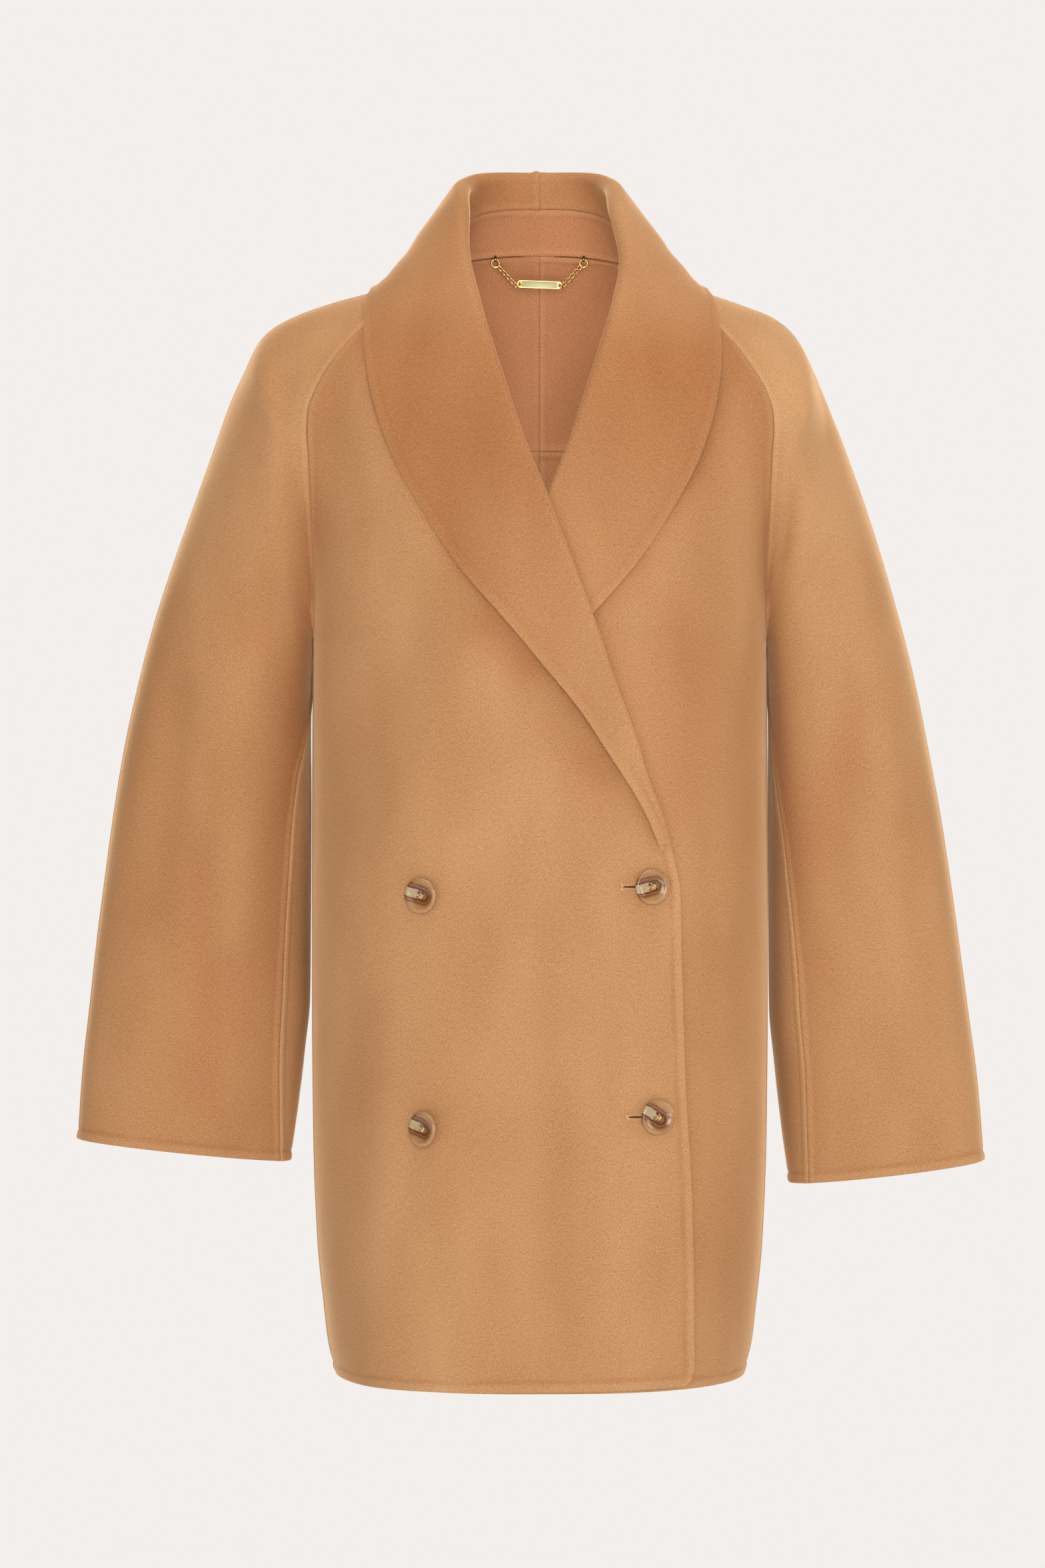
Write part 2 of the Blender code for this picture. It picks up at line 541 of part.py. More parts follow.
def shared_normals(pieces):
    """Outward normal and mitre of every point, shared by the pieces that meet at a seam."""
    faces_at = {}
    for grid, flip in pieces.values():
        normals = face_normals(grid, flip)
        keys = corner_keys(grid)
        for i in range(normals.shape[0]):
            for j in range(normals.shape[1]):
                for key in (keys[i][j], keys[i][j + 1], keys[i + 1][j], keys[i + 1][j + 1]):
                    faces_at.setdefault(key, []).append(normals[i, j])
    offsets = {}
    for key, found in faces_at.items():
        found = np.array(found)
        normal = unit(found.sum(axis=0))
        lean = np.mean(unit(found) @ normal)
        offsets[key] = normal / max(lean, 1 / MITRE_LIMIT)
    return offsets


def drawn_in(grid, end_gap):
    """A grid with its edges drawn in by half the seam gap, and its end rows by a gap of their own."""
    grid = grid.copy()
    for rows, gap in ((grid, end_gap), (np.swapaxes(grid, 0, 1), SEAM_GAP / 2)):
        first = unit(rows[1] - rows[0])
        last = unit(rows[-2] - rows[-1])
        rows[0] += first * gap
        rows[-1] += last * gap
    return grid


def loft_wall(grid, offsets, flip, end_gap):
    """Vertices and faces of a closed wall of cloth under a grid of outer points."""
    depth = np.array([[offsets[key] for key in row] for row in corner_keys(grid)])
    inner = grid - depth * CLOTH
    vertices = np.concatenate([drawn_in(side, end_gap).reshape(-1, 3) for side in (grid, inner)])
    rows, cols = grid.shape[:2]
    number = np.arange(rows * cols).reshape(rows, cols)
    under = rows * cols
    faces = []
    for i in range(rows - 1):
        for j in range(cols - 1):
            quad = (number[i, j], number[i, j + 1], number[i + 1, j + 1], number[i + 1, j])
            faces.append(quad)
            faces.append(tuple(k + under for k in reversed(quad)))
    rim = np.concatenate((number[0, :-1], number[:-1, -1], number[-1, :0:-1], number[:0:-1, 0]))
    for a, b in zip(rim, np.roll(rim, -1)):
        faces.append((b, a, a + under, b + under))
    if flip:
        faces = [tuple(reversed(face)) for face in faces]
    return vertices, faces


def material(name):
    """The Principled material of one stuff."""
    colour, roughness, metallic = COLOURS[name]
    made = bpy.data.materials.new(name)
    made.use_nodes = True
    shader = made.node_tree.nodes["Principled BSDF"]
    shader.inputs["Base Color"].default_value = colour
    shader.inputs["Roughness"].default_value = roughness
    shader.inputs["Metallic"].default_value = metallic
    return made


def add_object(name, data, stuff, collection, smooth=True):
    """A named object of the coat."""
    made = bpy.data.objects.new(name, data)
    data.materials.append(stuff)
    if smooth and isinstance(data, bpy.types.Mesh):
        data.shade_smooth()
    collection.objects.link(made)
    return made


def add_cloth(collection, stuff):
    """The cut pieces of cloth."""
    pieces = cloth_grids()
    offsets = shared_normals(pieces)
    for name, (grid, flip) in pieces.items():
        end_gap = BAND_END if name == "neck_band" else SEAM_GAP / 2
        vertices, faces = loft_wall(grid, offsets, flip, end_gap)
        mesh = bpy.data.meshes.new(name)
        mesh.from_pydata(vertices.tolist(), [], [tuple(int(k) for k in face) for face in faces])
        add_object(name, mesh, stuff, collection)


def button_profile():
    """Half section of a button, from its middle over the rim and down to its back."""
    top = BUTTON_THICKNESS
    middle = top / 2 + BUTTON_EDGE_ROUND / 2
    dish = top - BUTTON_DISH_DEPTH
    shoulder = BUTTON_RADIUS - BUTTON_EDGE_ROUND
    return ((0.0, dish),
            (BUTTON_DISH_RADIUS - BUTTON_DISH_SLOPE, dish),
            (BUTTON_DISH_RADIUS, (dish + top) / 2),
            (BUTTON_RADIUS - BUTTON_RIM_WIDTH, top),
            (shoulder, top - BUTTON_EDGE_ROUND / 2),
            (BUTTON_RADIUS, middle),
            (shoulder, middle / 2),
            (BUTTON_BACK_RADIUS, 0.0),
            (0.0, 0.0))


def add_buttons(collection, cutters, stuff):
    """The four buttons, each turned, with four sewing holes."""
    profile = bpy.data.meshes.new("button_profile")
    section = button_profile()
    profile.from_pydata([(x, 0.0, z) for x, z in section],
                        [(i, i + 1) for i in range(len(section) - 1)], [])
    holes = bpy.data.meshes.new("button_holes")
    shape = bmesh.new()
    for turn in range(4):
        place = Matrix.Rotation(pi / 4 + turn * pi / 2, 4, "Z")
        place = place @ Matrix.Translation((BUTTON_HOLE_OFFSET * 2 ** 0.5, 0, BUTTON_THICKNESS / 2))
        bmesh.ops.create_cone(shape, cap_ends=True, segments=BUTTON_HOLE_SIDES,
                              radius1=BUTTON_HOLE_RADIUS, radius2=BUTTON_HOLE_RADIUS,
                              depth=BUTTON_THICKNESS * 2, matrix=place)
    shape.to_mesh(holes)
    shape.free()
    for number, (x, z) in enumerate(BUTTON_CENTRES, start=1):
        x, z = np.array(x), np.array(z)
        at = front_shell(x, z, "right", SEAM_GAP)
        away = front_shell(x, z, "right", 1.0) - at
        button = add_object(f"button_{number}", profile.copy(), stuff, collection, smooth=False)
        button.matrix_world = (Matrix.Translation(at)
                               @ Vector(away).to_track_quat("Z", "Y").to_matrix().to_4x4())
        turned = button.modifiers.new("Turned", "SCREW")
        turned.steps = turned.render_steps = BUTTON_SIDES
        turned.use_merge_vertices = True
        turned.merge_threshold = 0.00001
        cutter = bpy.data.objects.new(f"button_{number}_holes", holes)
        cutter.hide_render = True
        cutter.display_type = "WIRE"
        cutter.matrix_world = button.matrix_world
        cutters.objects.link(cutter)
        cut = button.modifiers.new("Sewing holes", "BOOLEAN")
        cut.object = cutter


def add_wire(name, loop, radius, stuff, collection, matrix):
    """A closed loop of wire through a ring of points."""
    line = bpy.data.curves.new(name, "CURVE")
    line.dimensions = "3D"
    line.bevel_depth = radius
    line.bevel_resolution = 1
    spline = line.splines.new("POLY")
    spline.points.add(len(loop) - 1)
    for point, place in zip(spline.points, loop):
        point.co = (*place, 1.0)
    spline.use_cyclic_u = True
    made = add_object(name, line, stuff, collection)
    made.matrix_world = matrix
    return made


def oval_loop(half_length, half_width, sides):
    """A long loop with round ends in its own XY plane, long along X."""
    straight = half_length - half_width
    angles = [2 * pi * (i + 0.5) / sides for i in range(sides)]
    return [(half_width * np.cos(a) + np.sign(np.cos(a)) * straight, half_width * np.sin(a), 0.0)
            for a in angles]


def facing(x_axis, z_axis, at):
    """A placement with the given X and Z directions."""
    x_axis, z_axis = Vector(x_axis).normalized(), Vector(z_axis).normalized()
    y_axis = z_axis.cross(x_axis)
    return Matrix.Translation(at) @ Matrix((x_axis, y_axis, z_axis)).transposed().to_4x4()


def plate_outline(line, half_length, half_width, at_x):
    """A rounded rectangle added to a flat curve."""
    corner = half_width * PLATE_CORNER
    spline = line.splines.new("POLY")
    places = []
    for turn in range(4):
        side_x = half_length - corner if turn in (0, 3) else corner - half_length
        side_y = half_width - corner if turn in (0, 1) else corner - half_width
        for step in range(PLATE_CORNER_STEPS + 1):
            angle = (turn + step / PLATE_CORNER_STEPS) * pi / 2
            places.append((at_x + side_x + corner * np.cos(angle), side_y + corner * np.sin(angle)))
    spline.points.add(len(places) - 1)
    for point, (x, y) in zip(spline.points, places):
        point.co = (x, y, 0.0, 1.0)
    spline.use_cyclic_u = True


def add_hanger(collection, thread, brass):
    """The hanger: thread tacks on the neck seam, and rings, links and plate that swing from them."""
    tack_z = RING_Z + RING_RADIUS + TACK_RAISE
    inside = body(body_angle(np.array(HANGER_X), np.array(tack_z)), np.array(tack_z), 1)[1]
    hang_y = inside - WALL_SLANT * CLOTH - TACK_RADIUS - TACK_WIRE - SEAM_GAP
    swing = bpy.data.objects.new("hanger_swing", None)
    swing.location = (0.0, hang_y, RING_Z + RING_RADIUS)
    collection.objects.link(swing)
    moving = []
    link_ends = LINK_WIRE + RING_WIRE + LINK_PLAY / 2
    pitch = 2 * LINK_HALF_LENGTH - 2 * LINK_WIRE - LINK_PLAY
    plate_ends = (PLATE_BAR / 2 + LINK_WIRE + LINK_PLAY) * 2 ** 0.5
    chain = 2 * LINK_HALF_LENGTH - link_ends - plate_ends + (LINK_COUNT - 1) * pitch
    bar_x = PLATE_LENGTH / 2 - PLATE_BAR / 2
    drop = ((RING_RADIUS + chain) ** 2 - (HANGER_X - bar_x) ** 2) ** 0.5
    for half, side in (("right", -1.0), ("left", 1.0)):
        ring_at = Vector((side * HANGER_X, hang_y, RING_Z))
        bar_at = Vector((side * bar_x, hang_y, RING_Z - drop))
        way = (bar_at - ring_at).normalized()
        add_wire("tack_" + half, oval_loop(TACK_RADIUS, TACK_RADIUS, LINK_SIDES), TACK_WIRE, thread,
                 collection, facing((0, 1, 0), (1, 0, 0), (ring_at.x, hang_y, tack_z)))
        moving.append(add_wire("ring_" + half, oval_loop(RING_RADIUS, RING_RADIUS, RING_SIDES), RING_WIRE,
                               brass, collection, facing((1, 0, 0), (0, -1, 0), ring_at)))
        along = RING_RADIUS + LINK_HALF_LENGTH - link_ends
        for number in range(1, LINK_COUNT + 1):
            flat = number % 2 == 0
            normal = Vector((0, -1, 0)) if flat else way.cross(Vector((0, -1, 0)))
            moving.append(add_wire(f"link_{half}_{number}",
                                   oval_loop(LINK_HALF_LENGTH, LINK_HALF_WIDTH, LINK_SIDES), LINK_WIRE,
                                   brass, collection, facing(way, normal, ring_at + way * along)))
            along += pitch
    outline = bpy.data.curves.new("hanger_plate", "CURVE")
    outline.dimensions = "2D"
    outline.fill_mode = "BOTH"
    outline.extrude = PLATE_THICKNESS / 2
    plate_outline(outline, PLATE_LENGTH / 2, PLATE_WIDTH / 2, 0.0)
    for side in (-1, 1):
        slot_x = side * (PLATE_LENGTH / 2 - PLATE_BAR - PLATE_SLOT / 2)
        plate_outline(outline, PLATE_SLOT / 2, PLATE_WIDTH / 2 - PLATE_BAR, slot_x)
    plate = add_object("hanger_plate", outline, brass, collection)
    plate.matrix_world = facing((1, 0, 0), (0, -1, 0), (0.0, hang_y, RING_Z - drop))
    moving.append(plate)
    bpy.context.view_layer.update()
    for piece in moving:
        piece.parent = swing
        piece.matrix_parent_inverse = swing.matrix_world.inverted()


def build():
    """Clear the scene and model the coat."""
    for old in list(bpy.data.objects):
        bpy.data.objects.remove(old, do_unlink=True)
    coat = bpy.data.collections.new(NAME)
    cutters = bpy.data.collections.new("cutters")
    bpy.context.scene.collection.children.link(coat)
    bpy.context.scene.collection.children.link(cutters)
    stuffs = {name: material(name) for name in COLOURS}
    add_cloth(coat, stuffs["wool"])
    add_buttons(coat, cutters, stuffs["horn"])
    add_hanger(coat, stuffs["thread"], stuffs["brass"])


build()
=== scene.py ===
"""A camel wool coat as it is sewn: double-face panels with felled edges, horn buttons, a hanger chain.

Metres, +Z up, in the coat's own frame: the origin is the middle of the neck base, -Y is the front
and +X the wearer's left. The wearer's right half is worked out first, with its side seam at -X, and
the left half is the same work mirrored.
"""

from functools import lru_cache
from math import cos, pi, radians, sin

import bpy
import numpy as np
from bpy.props import FloatProperty, FloatVectorProperty, PointerProperty
from mathutils import Matrix, Vector


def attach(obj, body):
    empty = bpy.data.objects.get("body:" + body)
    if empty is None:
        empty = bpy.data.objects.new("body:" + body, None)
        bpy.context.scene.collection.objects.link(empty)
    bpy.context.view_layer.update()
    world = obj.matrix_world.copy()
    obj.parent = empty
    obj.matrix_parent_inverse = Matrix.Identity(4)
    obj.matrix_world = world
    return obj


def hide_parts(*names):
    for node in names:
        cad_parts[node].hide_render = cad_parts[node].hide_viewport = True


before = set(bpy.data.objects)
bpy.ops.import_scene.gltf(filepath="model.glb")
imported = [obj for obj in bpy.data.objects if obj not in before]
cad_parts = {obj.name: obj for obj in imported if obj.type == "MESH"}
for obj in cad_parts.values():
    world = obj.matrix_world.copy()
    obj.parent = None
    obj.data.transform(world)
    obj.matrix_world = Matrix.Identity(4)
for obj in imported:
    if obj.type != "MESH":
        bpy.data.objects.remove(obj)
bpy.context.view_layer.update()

bl_info = {
    "name": "Wool coat",
    "version": (1, 0, 0),
    "blender": (4, 5, 0),
    "location": "3D View > Sidebar > Wool coat",
    "description": "Dresses a wool coat with cloth, buttons, stitches and its hanger chain",
    "category": "Object",
}

MM = 0.001

# Form of the coat, as its solids have it
CLOTH = 0.0024             # wall of the double-face wool
SQUARENESS = 2.35          # 2 is an ellipse
HEM_Z = -0.827
BREAK_Z = -0.438           # where the lapel starts to roll
BREAK_LOW = -0.467         # the front edge starts to draw in for the roll here
YOKE_STATION = 7           # the cross seam of the back meets the raglan seam here
NECK_RISE = 0.0065         # centre back neck above its corners
NECK_RISE_OVER = 0.020     # height over which that rise dies away
HEM_RISE = 0.0035          # right front edge above the hem
HEM_RISE_OVER = 0.060      # height over which that rise dies away
LEFT_EDGE_SHIFT = -0.009   # the left roll line sits this much nearer its own side
LEFT_EDGE_LOW = 0.2        # share of that shift below the break
LEFT_EDGE_FROM = -0.460    # the shift grows from here
LEFT_EDGE_OVER = 0.130     # over this height
SLOPE_REACH = 0.004        # height over which the slope of the form is measured
FACE_STEP = 0.002          # distance over which the lie of a face or line is measured
CORNER_RADIUS = 0.009      # of the right front at its hem
LAY_GAP = 0.0007           # under each lapel
ROLL_JOIN = 4              # power by which the lapel leaves the end of its roll
TIP_THIN = 0.03            # share of the lapel's thickness left at its lower tip
TIP_LENGTH = 0.035
TIP_SUNK = 0.0004          # the tip runs into the felled edge of the front
BAND_TAPER = 0.05          # share of the neckline over which the neck band grows
BAND_SEWN = 0.012          # height over which the collar's seam to it starts

# Spacing of the cloth's points: dense beside cut edges, even between them
EDGE_STEPS = np.array((0, 0.06, 0.2, 0.45, 0.8, 1.2, 2.0, 3.0, 4.2, 5.4, 6.2, 7.0, 7.8, 9.0, 11.0)) * MM
EDGE_LIMIT = 0.4           # most of a row that one dense edge may take
ROW_STEP = 0.0045
STATION_ROWS = 7           # rows between two stations of the raglan seam
STATION_SIZE = 0.0245      # and the distance between them
TUBE_ROWS = 10             # the same for the sleeve below the armhole
TUBE_SIZE = 0.046
DENSE = 240                # points of a row before it is laid out by length
CURL_DENSE = 40
FALL_DENSE = 80
FRONT_MIDDLE = 54          # columns between the dense edges
BACK_MIDDLE = 34
SLEEVE_MIDDLE = 42
CURL_MIDDLE = 20
FALL_MIDDLE = 24
BAND_MIDDLE = 6
SEAM_MATCH = 0.00001       # points nearer than this meet at a seam

# Evening out where two parts of the form meet
JOINT_REACH = 0.030        # the collar is eased this far round the front neck
JOINT_PASSES = 40
TURN_AT = 12.3             # station below the armhole where cap and tube meet
TURN_REACH = 2.0
TURN_CLEAR = 0.030         # distance from the seam over which the evening grows
TURN_PASSES = 220

# Sewing: a seam swells over its turnings, and a free edge is turned in and felled by hand
SEAM_RIDGE = 0.0009        # swell beside a seam
SEAM_UNEVEN = 0.12         # share by which its width wanders
SEAM_ROUND = 0.0011
SEAM_SIDE = {              # share of the swell where the turnings are laid to the other side
    "collar_left": 0.3, "back_upper_right": 0.35, "back_lower_right": 0.35}
INNER_SWELL = 1.5          # the turnings lie on the inside, so they swell it more
INNER_DITCH = 0.3
RIB_START = 0.2            # how far up its round a rib starts at the edge itself
FELL_WANDER = 0.0005       # of the felling line
FELL_WIDTH = 0.0016
FELL_PUFF = 0.0008
FELL_GROOVE = 0.0006
FELL_PULL = (0.7, 0.5)     # pull of the felling thread, and how much it wanders
FELL_COLLAR = 0.30         # share of all this on the collar, whose edge is pressed flatter
FULL_ROUND = 0.475         # rounding of a free edge as a share of the cloth's thickness
WAVES = ((0.47, 0.083), (0.33, 0.047), (0.2, 0.021))   # sizes and lengths of the unevenness of hand work

# Soft hollows listed for each piece: from x, z to x, z, reach and depth in millimetres. A ridge has
# a depth of less than nothing, and so has a hollow of the collar, whose grid is its under side.
HOLLOW_CLEAR = 0.025       # hollows die away over this distance from a seam
OVERLAP_HOLLOWS = (        # shared by the two fronts, where one lies on the other
    (-48, -250, 12, -330, 36, 1.5), (18, -345, 52, -395, 30, 3.2), (-20, -560, 10, -800, 46, 1.8))
HOLLOWS = {
    "front_right": (
        *OVERLAP_HOLLOWS, (-158, -105, -140, -190, 26, 4.0), (-120, -330, -150, -420, 38, 3.0),
        (-134, -560, -140, -790, 24, 2.4), (-95, -150, -70, -215, 26, -2.2)),
    "front_left": (
        *OVERLAP_HOLLOWS, (152, -75, 120, -150, 26, 4.2), (118, -300, 140, -410, 34, 3.4),
        (92, -205, 70, -260, 24, -2.2), (128, -520, 138, -760, 24, 2.4)),
    "collar_right": ((-126, -20, -119, -10, 8, -1.2), (-116, -3, -104, 10, 13, -2.8)),
    "collar_left": (
        (126, -20, 119, -10, 8, -2.2), (-48, -250, 12, -330, 36, -1.5), (18, -345, 52, -395, 30, -3.2),
        (116, -3, 104, 10, 13, -2.6)),
    "sleeve_front_right": (
        (-187, -98, -172, -168, 13, 3.6), (-205, -150, -214, -230, 18, -1.6),
        (-268, -320, -286, -480, 15, 3.4), (-216, -300, -230, -500, 18, -2.6),
        (-246, -450, -250, -620, 17, 2.0)),
    "sleeve_front_left": (
        (200, -138, 170, -212, 15, 4.2), (203, -112, 217, -200, 16, -1.8), (232, -330, 214, -430, 18, 3.2),
        (276, -420, 290, -560, 20, 2.6), (252, -360, 268, -600, 17, -2.0)),
    "sleeve_back_right": (
        (-200, -190, -236, -270, 26, 2.4), (-240, -330, -280, -400, 16, 3.8),
        (-232, -395, -276, -455, 14, 3.0), (-262, -440, -272, -640, 18, -2.4)),
    "sleeve_back_left": (
        (196, -185, 230, -270, 26, 2.6), (226, -345, 272, -405, 16, 3.6), (236, -420, 270, -470, 14, 3.0),
        (256, -460, 262, -660, 18, -2.2)),
    "back_upper_right": ((-60, -70, -96, -120, 26, 2.6),),
    "back_upper_left": ((54, -60, 92, -125, 26, 3.0),),
    "back_lower_right": (
        (-72, -300, -88, -800, 34, 5.0), (-128, -330, -146, -760, 26, -3.4),
        (-30, -480, -26, -800, 26, -2.6)),
    "back_lower_left": (
        (64, -330, 76, -800, 38, 4.4), (132, -300, 142, -740, 26, -3.0), (28, -420, 34, -800, 24, -2.8))}

# Painted light and shade, kept in the wool's colour: more than nothing is a painted highlight, less is
# painted shade, darker and redder
PAINTED_SHADING_TINT = (0.10, 0.17, 0.22)   # painted change of red, green and blue for a shading of 1
PAINTED_SHADING_MOST = 2.2
OUTER_PAINTED_SHADING = 0.7            # share of the painted light and shade on the outside
INNER_PAINTED_SHADING = 0.8            # and on the inside
SEAM_PAINTED_SHADE = 0.5           # painted shade in the line of a seam
SEAM_DARK = 0.0008
FELL_PAINTED_HIGHLIGHT = 0.8            # painted highlight on a felled rib
FELL_PAINTED_SHADE = 1.6            # painted shade in the groove behind the rib
EDGE_PAINTED_HIGHLIGHT = 0.9            # painted highlight on the very edge
EDGE_REACH = 0.0016
HOLLOW_PAINTED_SHADE = 0.005        # depth of a hollow painted with a shade of -1; ridges are painted lighter
PIECE_PAINTED_LIGHT = {             # painted light and shade over whole pieces, lighter or darker as light falls on each
    "front_right": 0.45, "front_left": -0.25, "sleeve_front_right": -0.6, "sleeve_front_left": 0.35,
    "sleeve_back_left": 0.5}
PAINTED_SHADOWS = {              # painted shadows: from x, z to x, z and reach in millimetres, and the shade
    "front_right": ((-34, -272, -12, -300, 18, 1.9), (36, -372, 44, -382, 12, 1.2))}
RAGLAN_PAINTED_SHADE = 1.7         # painted shade on the fronts beside the raglan seam, below the collar
RAGLAN_REACH = 0.026
RAGLAN_FROM = -0.260       # height from which that grows
RAGLAN_OVER = 0.110
LAPEL_PAINTED_SHADOW = 1.0          # painted shadow on the fronts outside the lapel's edge
LAPEL_REACH = 0.008
LAPEL_LINE = 0.0022        # reach of the darker painted shadow line right beside that edge
SHOULDER_PAINTED_LIGHT = 1.0        # painted light on the sleeves over the shoulder
SHOULDER_FROM = -0.300
SHOULDER_OVER = 0.180
INNER_PAINTED_SHADE = 1.3          # painted shade on the inner side of the sleeves where the arm bends
INNER_REACH = 0.034
INNER_Z = -0.410
INNER_OVER = 0.130
STRIP_PAINTED_LIGHT = 1.5           # painted light on the shaded strip of a sleeve's back that faces the body
STRIP_REACH = 0.045

# Lie of the collar's nap: up the lapel it turns from lying down to lying across, and the turned nap gets
# darker shades painted for how light falls on it
NAP_FROM = -0.310
NAP_OVER = 0.190
NAP_TOP = 0.6              # share by which it lies down again round the neck
NAP_TOP_FROM = -0.080
NAP_TOP_OVER = 0.060
NAP_LEFT = (-0.240, 0.85)  # the left lapel's turn starts higher, and lies down more
NAP_BACK_Y = 0.045
NAP_STAND = 0.4            # share of the collar's width that stands up inside
NAP_STAND_OVER = 0.1
NAP_INNER = 0.5            # of that lying down, on the part that stands up

# Grain of the wool
FIBRE_SIZE = 0.00065       # coarser than a fibre, so that the nap shows from a step away
NAP_STRETCH = 0.45
TUFT_SIZE = 0.0012
TUFT_SHARE = 0.3
CLOUD_SIZE = 0.045
CLOUD_STRETCH = 0.4
CLOUD_SHARE = 0.16
SHADE_STOPS = (0.32, 0.68, 0.5)   # where the deep, pale and plain shades lie
LYING_WOOL = ("#976741", "#c79e75", "#b2845b")
# The collar's shades: real turned nap, with painted shade for how light falls on it
COLLAR_WOOL = ("#8a5731", "#bb8a61", "#a57148")
INSIDE_WOOL = ("#93603f", "#c2916d", "#ae7a57")
SHEEN_COLOUR = "#dcbb94"

# Buttons: x, z, turn of the streak, lean and the axis of the lean (degrees, in the cloth's plane), and
# on which side of the streak the bands are wide
BUTTONS = (
    (-0.0818, -0.4680, -17.0, -9.0, 80.0, 1), (0.0783, -0.4620, 11.0, -2.0, 90.0, 1),
    (-0.0806, -0.6360, -20.0, -23.0, 86.0, 1), (0.0820, -0.6275, -31.0, 2.0, 90.0, -1))
BUTTON_RADIUS = 0.0127
BUTTON_SIDES = 72
BUTTON_PROFILE = (          # radius and height in millimetres, from the back round the rim to the dish
    (5.0, 0.0), (9.6, 0.1), (11.3, 0.5), (12.2, 1.2), (12.6, 2.0), (12.7, 2.6), (12.55, 3.2), (12.1, 3.75),
    (11.4, 4.1), (10.7, 4.2), (10.0, 4.1), (9.2, 3.75), (8.2, 3.3), (6.8, 2.95), (5.0, 2.75), (2.4, 2.65))
BUTTON_CREASE = 40.0        # degrees, past which an edge stays sharp
HOLE_RADIUS = 0.0010
HOLE_PLACE = 0.0019
HOLE_SIDES = 20
DRILL_LENGTH = 0.02
SHANK_RADIUS = 0.0017
SHANK_DEPTH = 0.004
SHANK_SUNK = 0.002          # length of the shank inside the button and the cloth
THREAD = (2 * HOLE_PLACE + 0.0016, 0.00042, 0.0005)   # length, radius and bow
THREAD_HEIGHT = 0.0028
THREADS = (                 # place, turn and size of each sewing thread between the holes
    (1.9, -0.1, 84.0, 0.8), (1.5, 0.2, 105.0, 0.75), (0.9, 0.0, 40.0, 0.8), (0.2, -0.6, -35.0, 0.8),
    (-0.9, -1.7, 12.0, 0.6), (1.6, -1.5, 60.0, 0.45), (0.6, 1.2, -50.0, 0.5))
THREAD_SWING = 9.0          # degrees by which each button's threads lie differently
BOW_SHARES = (0.35, 0.65, 0.9)   # shares of a thread's length that are raised in turn for its bow
STRAND_SIDES = (8, 10)      # round a thread and along it
HORN_WOBBLE = 0.0070
HORN_SHIFT = 0.0028
STREAK_END = 0.0022         # the middle of the growth bands runs from the rim to here
STREAK_FADE = (-0.0026, 0.0004)
STREAK_EDGE = (0.0032, 0.0038)
STREAK_COLOUR = "#ab9874"
NARROW_SIDE = 1.22
HORN_REACH = 12.5           # millimetres
HORN_VEIN = 0.0012
VEIN_STRETCH = 0.15
VEIN_TONE = (0.82, 1.12)
HORN_BANDS = (              # millimetres from that middle
    (0.0, "#8d683f"), (2.4, "#82552b"), (3.4, "#70441d"), (3.9, "#532a0c"), (4.6, "#5a3010"),
    (5.1, "#845128"), (6.0, "#8a572d"), (6.5, "#65380f"), (7.0, "#754a1c"), (7.8, "#8f6434"),
    (9.2, "#a1764a"), (12.5, "#ad845a"))

# Buttonholes of the right front: a slit edged with stitches, and a tuft of loose thread at its end; the slit
# is a dark strand, partly thread and partly painted shade of the opening
HOLED_BUTTONS = (2, 4)
HOLE_SHIFT = -0.0095
SLIT_RADIUS = 0.00085
SLIT_SUNK = 0.00025
HOLE_STITCH = (0.0015, 0.00026, 0.0003)   # length, radius and bow
HOLE_STITCHES = 20
STITCH_OFF = 0.00145        # from the slit's middle
STITCH_STRAY = 0.0003
STITCH_LEAN = 55.0
HOLE_TUFT = 11
TUFT_FAN = 17.0             # degrees between its threads
TUFT_STRAY = 25.0
TUFT_ROOT = (0.0006, 0.0011, 0.0002)
TUFT_OUT = 0.0012
TUFT_SIZES = (1.2, 0.45)    # of the stitch: mean and stray

# Hanger
HANGER_X = 0.0337
HANGER_Y = 0.059448
RING_Z = 0.0096
RING_RADIUS = 0.0030
RING_WIRE = 0.0006
RING_SIDES = (40, 14)       # along the wire and round it
TACK_Z = 0.0133
TACK_RADIUS = 0.0019
TACK_WIRE = 0.00035
TACK_SIDES = (28, 10)
TACK_STEP = 0.0007
TACK_LEANS = (-14.0, 12.0)
LINKS = 5
LINK_HALF = 0.00275
LINK_WIRE = 0.00042
LINK_THICK = 0.00062
LINK_ROUND = 0.00125
LINK_SIDES = (32, 12)
LINK_STRAIGHT = 0.0011
LINK_TWIST = 28.0
LINK_PLAY = 0.0003
LINK_TURN = 12.0
LINK_SWING = 8.0
MIDDLE_MARGIN = 0.00001     # points nearer the middle than this stay there when a round is drawn out
PLATE_LENGTH = 0.035
PLATE_HEIGHT = 0.006
PLATE_THICK = 0.0008
PLATE_BAR = 0.0008
PLATE_Z = -0.00659
PLATE_LEAN = 2.0
PLATE_CORNER = 0.0028
CORNER_STEPS = 8
PLATE_SOFT = 0.00012
SOFT_STEPS = 3
PLATE_CREASE = 35.0
RIM_WIRE = 0.00038
RIM_SIDES = (48, 10)
SLOT_PLACE = 0.0154
SLOT_WIDTH = 0.0018
SLOT_HEIGHT = 0.0030
SLOT_SIDES = 28
SLOT_LENGTH = 0.01
FACE_LENGTH = 0.0270
FACE_HEIGHT = 0.0044
FACE_OUT = 0.00010

# Hand stitches along the neck seam
NECK_STITCH = (0.0022, 0.00017, 0.0003)   # length, radius and bow
NECK_STRAY = 0.3            # share of a step
NECK_SKIP = 1.15            # unevenness past which a stitch is hidden in the nap
NECK_LEAN = 25.0
NECK_SIZES = (0.75, 0.25)   # mean and stray

